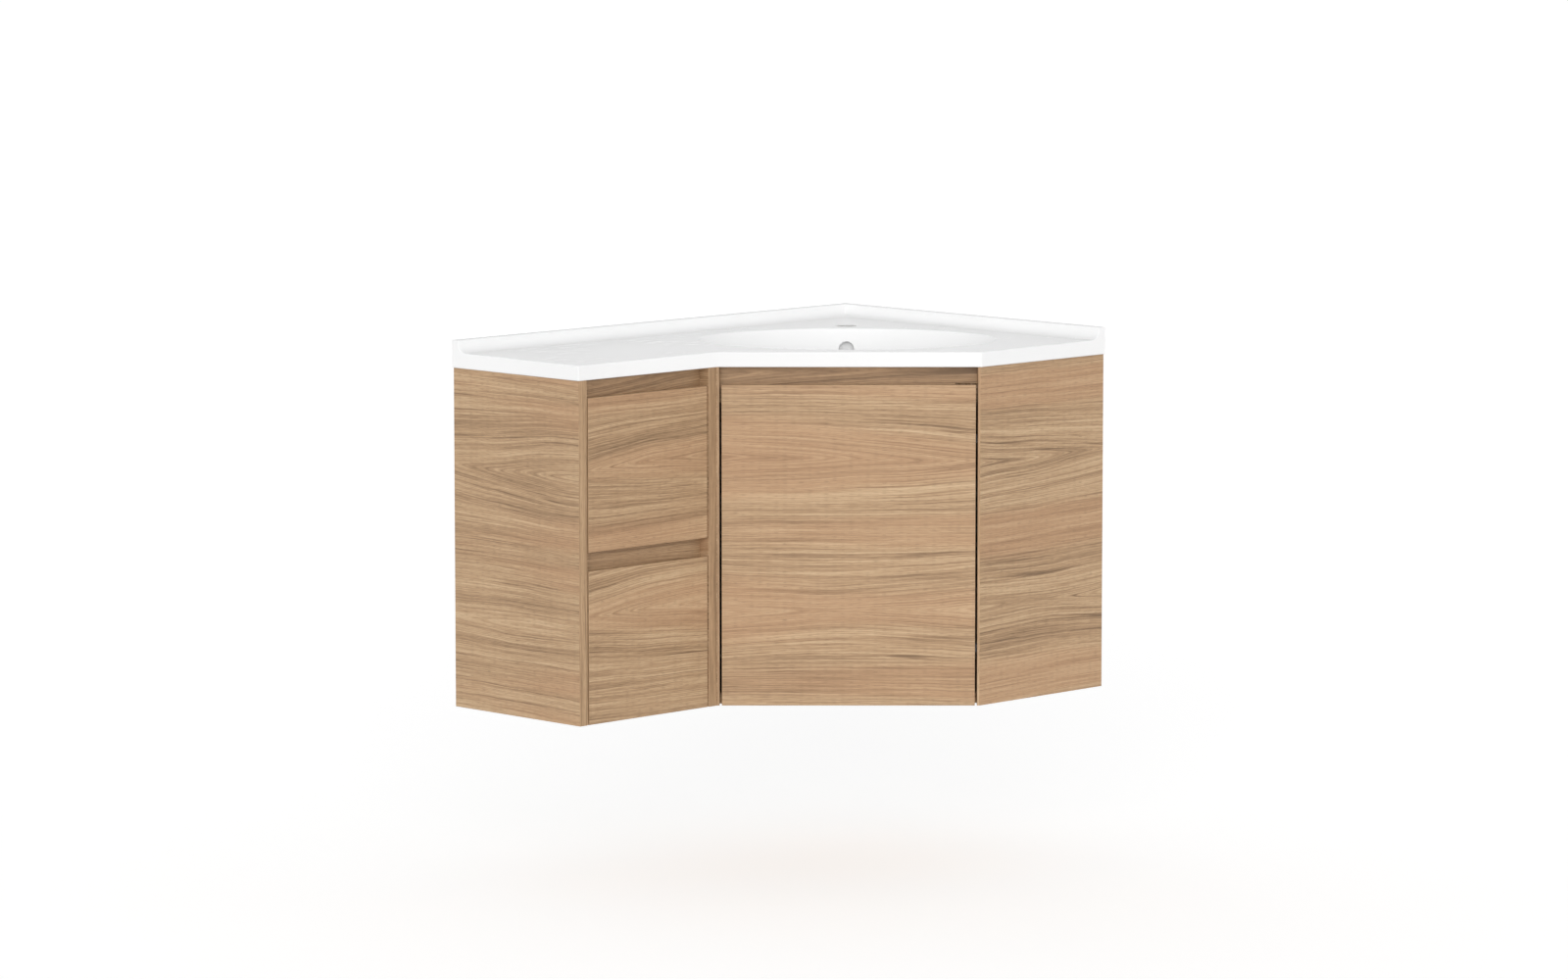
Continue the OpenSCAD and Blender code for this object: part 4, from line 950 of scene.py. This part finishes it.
def make_gel_coat():
    """White gel coat: glossy, with the mould's long faint waves and a few fine wiping marks."""
    group, spot, given = shader_group("gel_coat", Rough=0.26, Scuffs=0.10)
    cloud = noise(group, spot, 7.0, 3.0)
    wiped = noise(group, scaled(group, spot, (25.0, 900.0, 900.0), (0, 0, 0.5)), 1.0, 1.0)
    marks = calc(group, "MULTIPLY", rise(group, wiped, 0.60, 0.80), rise(group, cloud, 0.45, 0.70))
    waves = noise(group, spot, 22.0, 1.0)
    return giving(group, Color=mixed(group, rise(group, cloud, 0.30, 0.75), GEL_WHITE, GEL_SHADE),
                  Roughness=calc(group, "MULTIPLY_ADD", marks, given["Scuffs"], given["Rough"]),
                  Height=calc(group, "MULTIPLY_ADD", marks, -0.05, waves))


def make_drilled_stone():
    """The bare filled stone that shows where a hole is drilled through the gel coat."""
    group, spot, _ = shader_group("drilled_grains")
    grains = place(group, "ShaderNodeTexVoronoi", Vector=spot, Scale=1400.0).outputs
    clouds = noise(group, spot, 300.0, 3.0)
    grain = place(group, "ShaderNodeSeparateColor", Color=grains["Color"]).outputs[0]
    tone = mixed(group, 0.4, grain, clouds)
    return giving(group, Color=ramp(group, tone, (0.15, STONE_DARK), (0.85, STONE_PALE)),
                  Roughness=calc(group, "MULTIPLY_ADD", clouds, 0.2, 0.6),
                  Height=grains["Distance"])


gel_coats = make_gel_coat()
gel_coat, cast_back = (
    new_material(name, gel_coats, (0.02, 0.0002), {"Specular IOR Level": 0.25}, Rough=rough,
                 Scuffs=scuffs)
    for name, rough, scuffs in (("white_gel_coat", 0.26, 0.10), ("cast_back", 0.50, 0.20)))
drilled_stone = new_material("drilled_stone", make_drilled_stone(), (0.3, 0.0002))
top_form = cut_by(make_top(), make_overflow_cutter())
for face in top_form.faces:
    middle = face.calc_center_median()
    if face.normal.z < DOWNWARDS and middle.z < SLAB_LOW + 0.001:
        face.material_index = 1
    elif (middle - by_door(0, TAP_AT, middle.z)).length < TAP_HOLE + 0.0002:
        face.material_index = 2
    else:
        face.material_index = 0
finished(top_form, "cast_top", (gel_coat, cast_back, drilled_stone), "cabinet", "cast_white",
         "vanity_top", "vanity_bowl")

# ---------------------------------------------------------------------------
# Overflow channel: a cast cover bonded behind the bowl, which leads the water
# from the overflow hole down to the waste's collar.
# ---------------------------------------------------------------------------
eased("overflow_channel", "overflow_cover", cast_back, "cabinet", "cast_white", 0.0010, 0.004)

# ---------------------------------------------------------------------------
# Waste: a chromed brass flange with its threaded tube, drawn down onto a seal
# by a nut under the bowl, and a plug that lifts in the tube's guide.
# ---------------------------------------------------------------------------
WASTE_MM = [  # closed outline of the tube, as radius and height
    (23.6, 447.0), (31.2, 447.0), (31.9, 447.5), (32.0, 448.6), (31.6, 449.5), (30.6, 450.0),
    (29.4, 450.0), (28.6, 449.4), (27.6, 448.8), (19.0, 448.6), (16.9, 448.0), (16.5, 446.8),
    (16.5, 371.8), (16.9, 371.0), (19.5, 371.0), (20.0, 371.5), (20.0, 400.6), (20.4, 401.0),
    (21.0, 401.6), (21.0, 446.4)]
PLUG_MM = [  # from the middle of its top to the end of its stem
    (0, 455.3), (8, 455.25), (16, 455.0), (22, 454.4), (25.4, 453.5), (27.4, 452.4), (28, 451.4),
    (27.8, 450.7), (27.2, 450.3), (6.0, 450.3), (4.5, 449.4), (4.5, 422.6), (4.1, 422.0),
    (0, 422.0)]
GUIDE_MM = [(4.7, 426.3), (7.0, 426.3), (7.0, 435.7), (4.7, 435.7)]
GUIDE_Z, RIBS, RIB_AT, RIB_SIZE = 0.431, 4, 0.0116, (0.0100, 0.004, 0.0094)
THREADS_PER_METRE = 500.0
THREAD_LOW, THREAD_HIGH = 0.4015, 0.4465
CHROME, CHROME_DULL = (0.72, 0.73, 0.75, 1), (0.60, 0.61, 0.63, 1)
RUBBER, RUBBER_DUST = (0.030, 0.030, 0.032, 1), (0.075, 0.074, 0.072, 1)


def turned(work, outline_mm, sides=128):
    """Turns an outline about the waste's axis. An end on the axis is closed to a point."""
    middle = by_door(0, WASTE_AT, 0)
    rings = []
    for radius, height in outline_mm:
        if radius == 0:
            rings.append([work.verts.new((middle.x, middle.y, height / 1000))])
        else:
            rings.append(ring(work, [
                (middle.x + radius / 1000 * math.cos(math.tau * k / sides),
                 middle.y + radius / 1000 * math.sin(math.tau * k / sides), height / 1000)
                for k in range(sides)]))
    pairs = list(zip(rings, rings[1:]))
    if outline_mm[0][0]:
        pairs.append((rings[-1], rings[0]))
    for one, two in pairs:
        if len(one) == len(two):
            bridge(work, (one, two))
        else:
            tip, rim = (one[0], two) if len(one) == 1 else (two[0], one)
            for k in range(sides):
                work.faces.new((tip, rim[k], rim[(k + 1) % sides]))


def cut_thread(material):
    """Puts a screw thread round the waste in the place of the material's own bump."""
    tree = material.node_tree
    spot = place(tree, "ShaderNodeTexCoord").outputs["Object"]
    here = place(tree, "ShaderNodeSeparateXYZ", Vector=place(
        tree, "ShaderNodeMapping", Vector=spot,
        Location=-by_door(0, WASTE_AT, 0)).outputs[0]).outputs
    round_it = calc(tree, "DIVIDE", calc(tree, "ARCTAN2", here["Y"], here["X"]), math.tau)
    thread = calc(tree, "MULTIPLY_ADD", here["Z"], THREADS_PER_METRE, round_it)
    feed(tree, tree.nodes["Bump"].inputs["Height"], calc(tree, "PINGPONG", thread, 0.5))


chrome, chrome_thread = (
    make_metal(name, CHROME, CHROME_DULL, 0.25, 0.05, bump)
    for name, bump in (("chrome_plate", (0.05, 0.0001)), ("chrome_thread", (1.0, 0.0012))))
cut_thread(chrome_thread)
waste_form = bmesh.new()
turned(waste_form, WASTE_MM)
turned(waste_form, GUIDE_MM, 48)
for k in range(RIBS):
    way = Matrix.Rotation(math.tau * k / RIBS - math.pi / 4, 4, "Z")
    guide_at = Matrix.Translation(by_door(0, WASTE_AT, GUIDE_Z)) @ way
    bmesh.ops.create_cube(waste_form, size=1.0, matrix=guide_at @ Matrix.Translation(
        (RIB_AT, 0, 0)) @ Matrix.Diagonal((*RIB_SIZE, 1)))
bmesh.ops.recalc_face_normals(waste_form, faces=waste_form.faces)
for face in waste_form.faces:
    middle_z = face.calc_center_median().z
    outward = (face.calc_center_median() - by_door(0, WASTE_AT, middle_z)).normalized()
    face.material_index = int(THREAD_LOW < middle_z < THREAD_HIGH
                              and face.normal.dot(outward) > 0.9 and face.calc_area() > 1e-6)
finished(waste_form, "waste_tube", (chrome, chrome_thread), "cabinet", "chrome", "waste_body")
plug_form = bmesh.new()
turned(plug_form, PLUG_MM)
bmesh.ops.recalc_face_normals(plug_form, faces=plug_form.faces)
finished(plug_form, "lifting_plug", (chrome,), "plug", "chrome", "waste_plug")
eased("waste_nut", "backnut", chrome, "cabinet", "chrome", 0.0006, 0.004)


def make_rubber():
    """Black rubber with pale dust in its pores."""
    group, spot, _ = shader_group("dusty_rubber")
    dust = noise(group, spot, 420.0, 3.0)
    return giving(group, Color=mixed(group, rise(group, dust, 0.45, 0.75), RUBBER, RUBBER_DUST),
                  Roughness=calc(group, "MULTIPLY_ADD", dust, 0.25, 0.50), Height=dust)


soft_rubber = new_material("soft_rubber", make_rubber(), (0.2, 0.0002))
eased("waste_seal", "seal_ring", soft_rubber, "cabinet", "soft_rubber", 0.0008, 0.003)

# ---------------------------------------------------------------------------
# Door: one oak-faced board, banded all round, with a bevel behind its top edge
# for the fingers and two bored cups. Soft buffers are stuck at its free edge.
# ---------------------------------------------------------------------------
board("door_panel", "door", DOOR_IN, DOOR_WAY, (13.49, 0.401))
eased("door_buffers", "soft_buffers", soft_rubber, "door", "soft_rubber", 0.0003, 0.0002)

# ---------------------------------------------------------------------------
# Hinges: pressed steel cups let into the door, cranked arms on plates that are
# screwed to the end panel, and plain pins. Cups and plates are bright zinc,
# arms and pins are passivated black.
# ---------------------------------------------------------------------------
BLACK_ZINC, BLACK_DULL = (0.115, 0.115, 0.120, 1), (0.070, 0.070, 0.074, 1)
black_zinc = make_metal("black_zinc", BLACK_ZINC, BLACK_DULL, 0.5, 0.34)
pressed("hinge_cups", "door", zinc_plate)
pressed("hinge_pins", "door", black_zinc, ease=0.0003)
pressed("hinge_arms", "cabinet", black_zinc)
pressed("hinge_plates", "cabinet", cast_zinc)
PAN = {"Head_Radius": 0.0035, "Head_Height": 0.0018, "Crown": 0.0008, "Slot_Length": 0.0046,
       "Slot_Width": 0.0010, "Slot_Depth": 0.0012, "Shank_Radius": 0.00175}
fit("cup_fixings", slotted_places("cup_screws", DOOR_IN), "door", "zinc_plated_steel",
    zinc_plate, "cup_screws", seed=5, Shank_Length=0.0105, **PAN)
fit("arm_and_plate_fixings", slotted_places("hinge_fixing_screws", Y_WAY), "cabinet",
    "zinc_plated_steel", zinc_plate, "hinge_fixing_screws", seed=8, Shank_Length=0.0095, **PAN)

# ---------------------------------------------------------------------------
# Drawers: an oak-faced front on a box of white-lined board. The thin bottom
# slides in grooves, and dowels hold the sides to the front.
# ---------------------------------------------------------------------------
FRONT_START = {"upper": (16.445, 0.410), "lower": (18.145, 0.172)}
BIRCH, BIRCH_LINE = (0.72, 0.55, 0.34, 1), (0.56, 0.40, 0.22, 1)


def make_birch():
    """Turned birch, with its lines along the dowel."""
    group, spot, _ = shader_group("birch_lines")
    lines = noise(group, scaled(group, spot, (700.0, 30.0, 700.0)), 1.0, 2.0)
    return giving(group, Color=mixed(group, lines, BIRCH, BIRCH_LINE), Height=lines)


birch = new_material("turned_birch", make_birch(), (0.3, 0.0002), {"Roughness": 0.6})
for drawer in ("upper", "lower"):
    body = drawer + "_drawer"
    board(body + "_front", body, Y_WAY, X_WAY, FRONT_START[drawer])
    for part in ("_left_side", "_right_side"):
        board(body + part, body, X_WAY, Y_WAY, (3.0, 0.0), (Y_WAY, -Y_WAY), **LINED)
    board(body + "_back", body, Y_WAY, X_WAY, (3.6, 0.0), (X_WAY, -X_WAY), **LINED)
    board(body + "_bottom", body, Z_WAY, X_WAY, (4.2, 0.0), (X_WAY, -X_WAY, Y_WAY, -Y_WAY),
          **LINED)
    finished(merged_copy(body + "_dowels"), body + "_birch_dowels", (birch,), body, "birch",
             body + "_dowels")

# ---------------------------------------------------------------------------
# Runners: three nested members of cold-rolled galvanised strip on each side of
# a drawer, the fixed one screwed to the gable and the inner one to the box.
# ---------------------------------------------------------------------------
WEB_SCREWS_AT = (0.030, 0.118, 0.206)       # from the back end of a member
RUNNER_BACK = SLAB_PLAN[0][1] - 0.035       # Y of the members' back ends
STRIP = 0.0014                              # thickness of the fixed member
SCREW_PROUD = 0.0005
STRIP_STEEL, STRIP_DULL = (0.66, 0.67, 0.69, 1), (0.47, 0.48, 0.50, 1)


def make_strip_steel():
    """Galvanised strip: rolling lines along its length under a faint spangle."""
    group, spot, _ = shader_group("rolled_strip")
    rolled = noise(group, scaled(group, spot, (1500.0, 9.0, 1500.0)), 1.0, 2.0)
    spangle = place(group, "ShaderNodeTexVoronoi", Vector=spot, Scale=190.0)
    spangle = place(group, "ShaderNodeSeparateColor", Color=spangle.outputs["Color"]).outputs[0]
    tone = calc(group, "MULTIPLY_ADD", spangle, 0.4, calc(group, "MULTIPLY", rolled, 0.5))
    return giving(group, Color=mixed(group, tone, STRIP_STEEL, STRIP_DULL),
                  Roughness=calc(group, "MULTIPLY_ADD", spangle, 0.14, 0.26), Height=rolled)


runner_strip = new_material("runner_strip", make_strip_steel(), (0.15, 0.0001), {"Metallic": 1.0})
for drawer in ("upper", "lower"):
    for part, body in (("fixed", "cabinet"), ("middle", drawer + "_runner_slide"),
                       ("inner", drawer + "_drawer")):
        node = drawer + "_runner_" + part
        pressed(node, body, runner_strip, "runner_steel", 0.0003)
        if part == "middle":
            continue
        low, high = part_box(node)
        fixed = part == "fixed"     # its screws are driven from inside the channel
        places = []
        for side, face in ((-1, low.x), (1, high.x)):
            facing = Vector((-side if fixed else side, 0, 0))
            for along in WEB_SCREWS_AT:
                screw = Vector((face - side * STRIP * fixed, RUNNER_BACK - along,
                                (low.z + high.z) / 2))
                places.append((screw + facing * SCREW_PROUD, facing))
        fit(node + "_screws", places, body, "zinc_plated_steel", zinc_plate, seed=11,
            Head_Radius=0.0034, Head_Height=0.0005, Crown=0.0002, Slot_Length=0.0040,
            Slot_Width=0.0009, Slot_Depth=0.0003, Shank_Radius=0.0015, Shank_Length=0.0008)
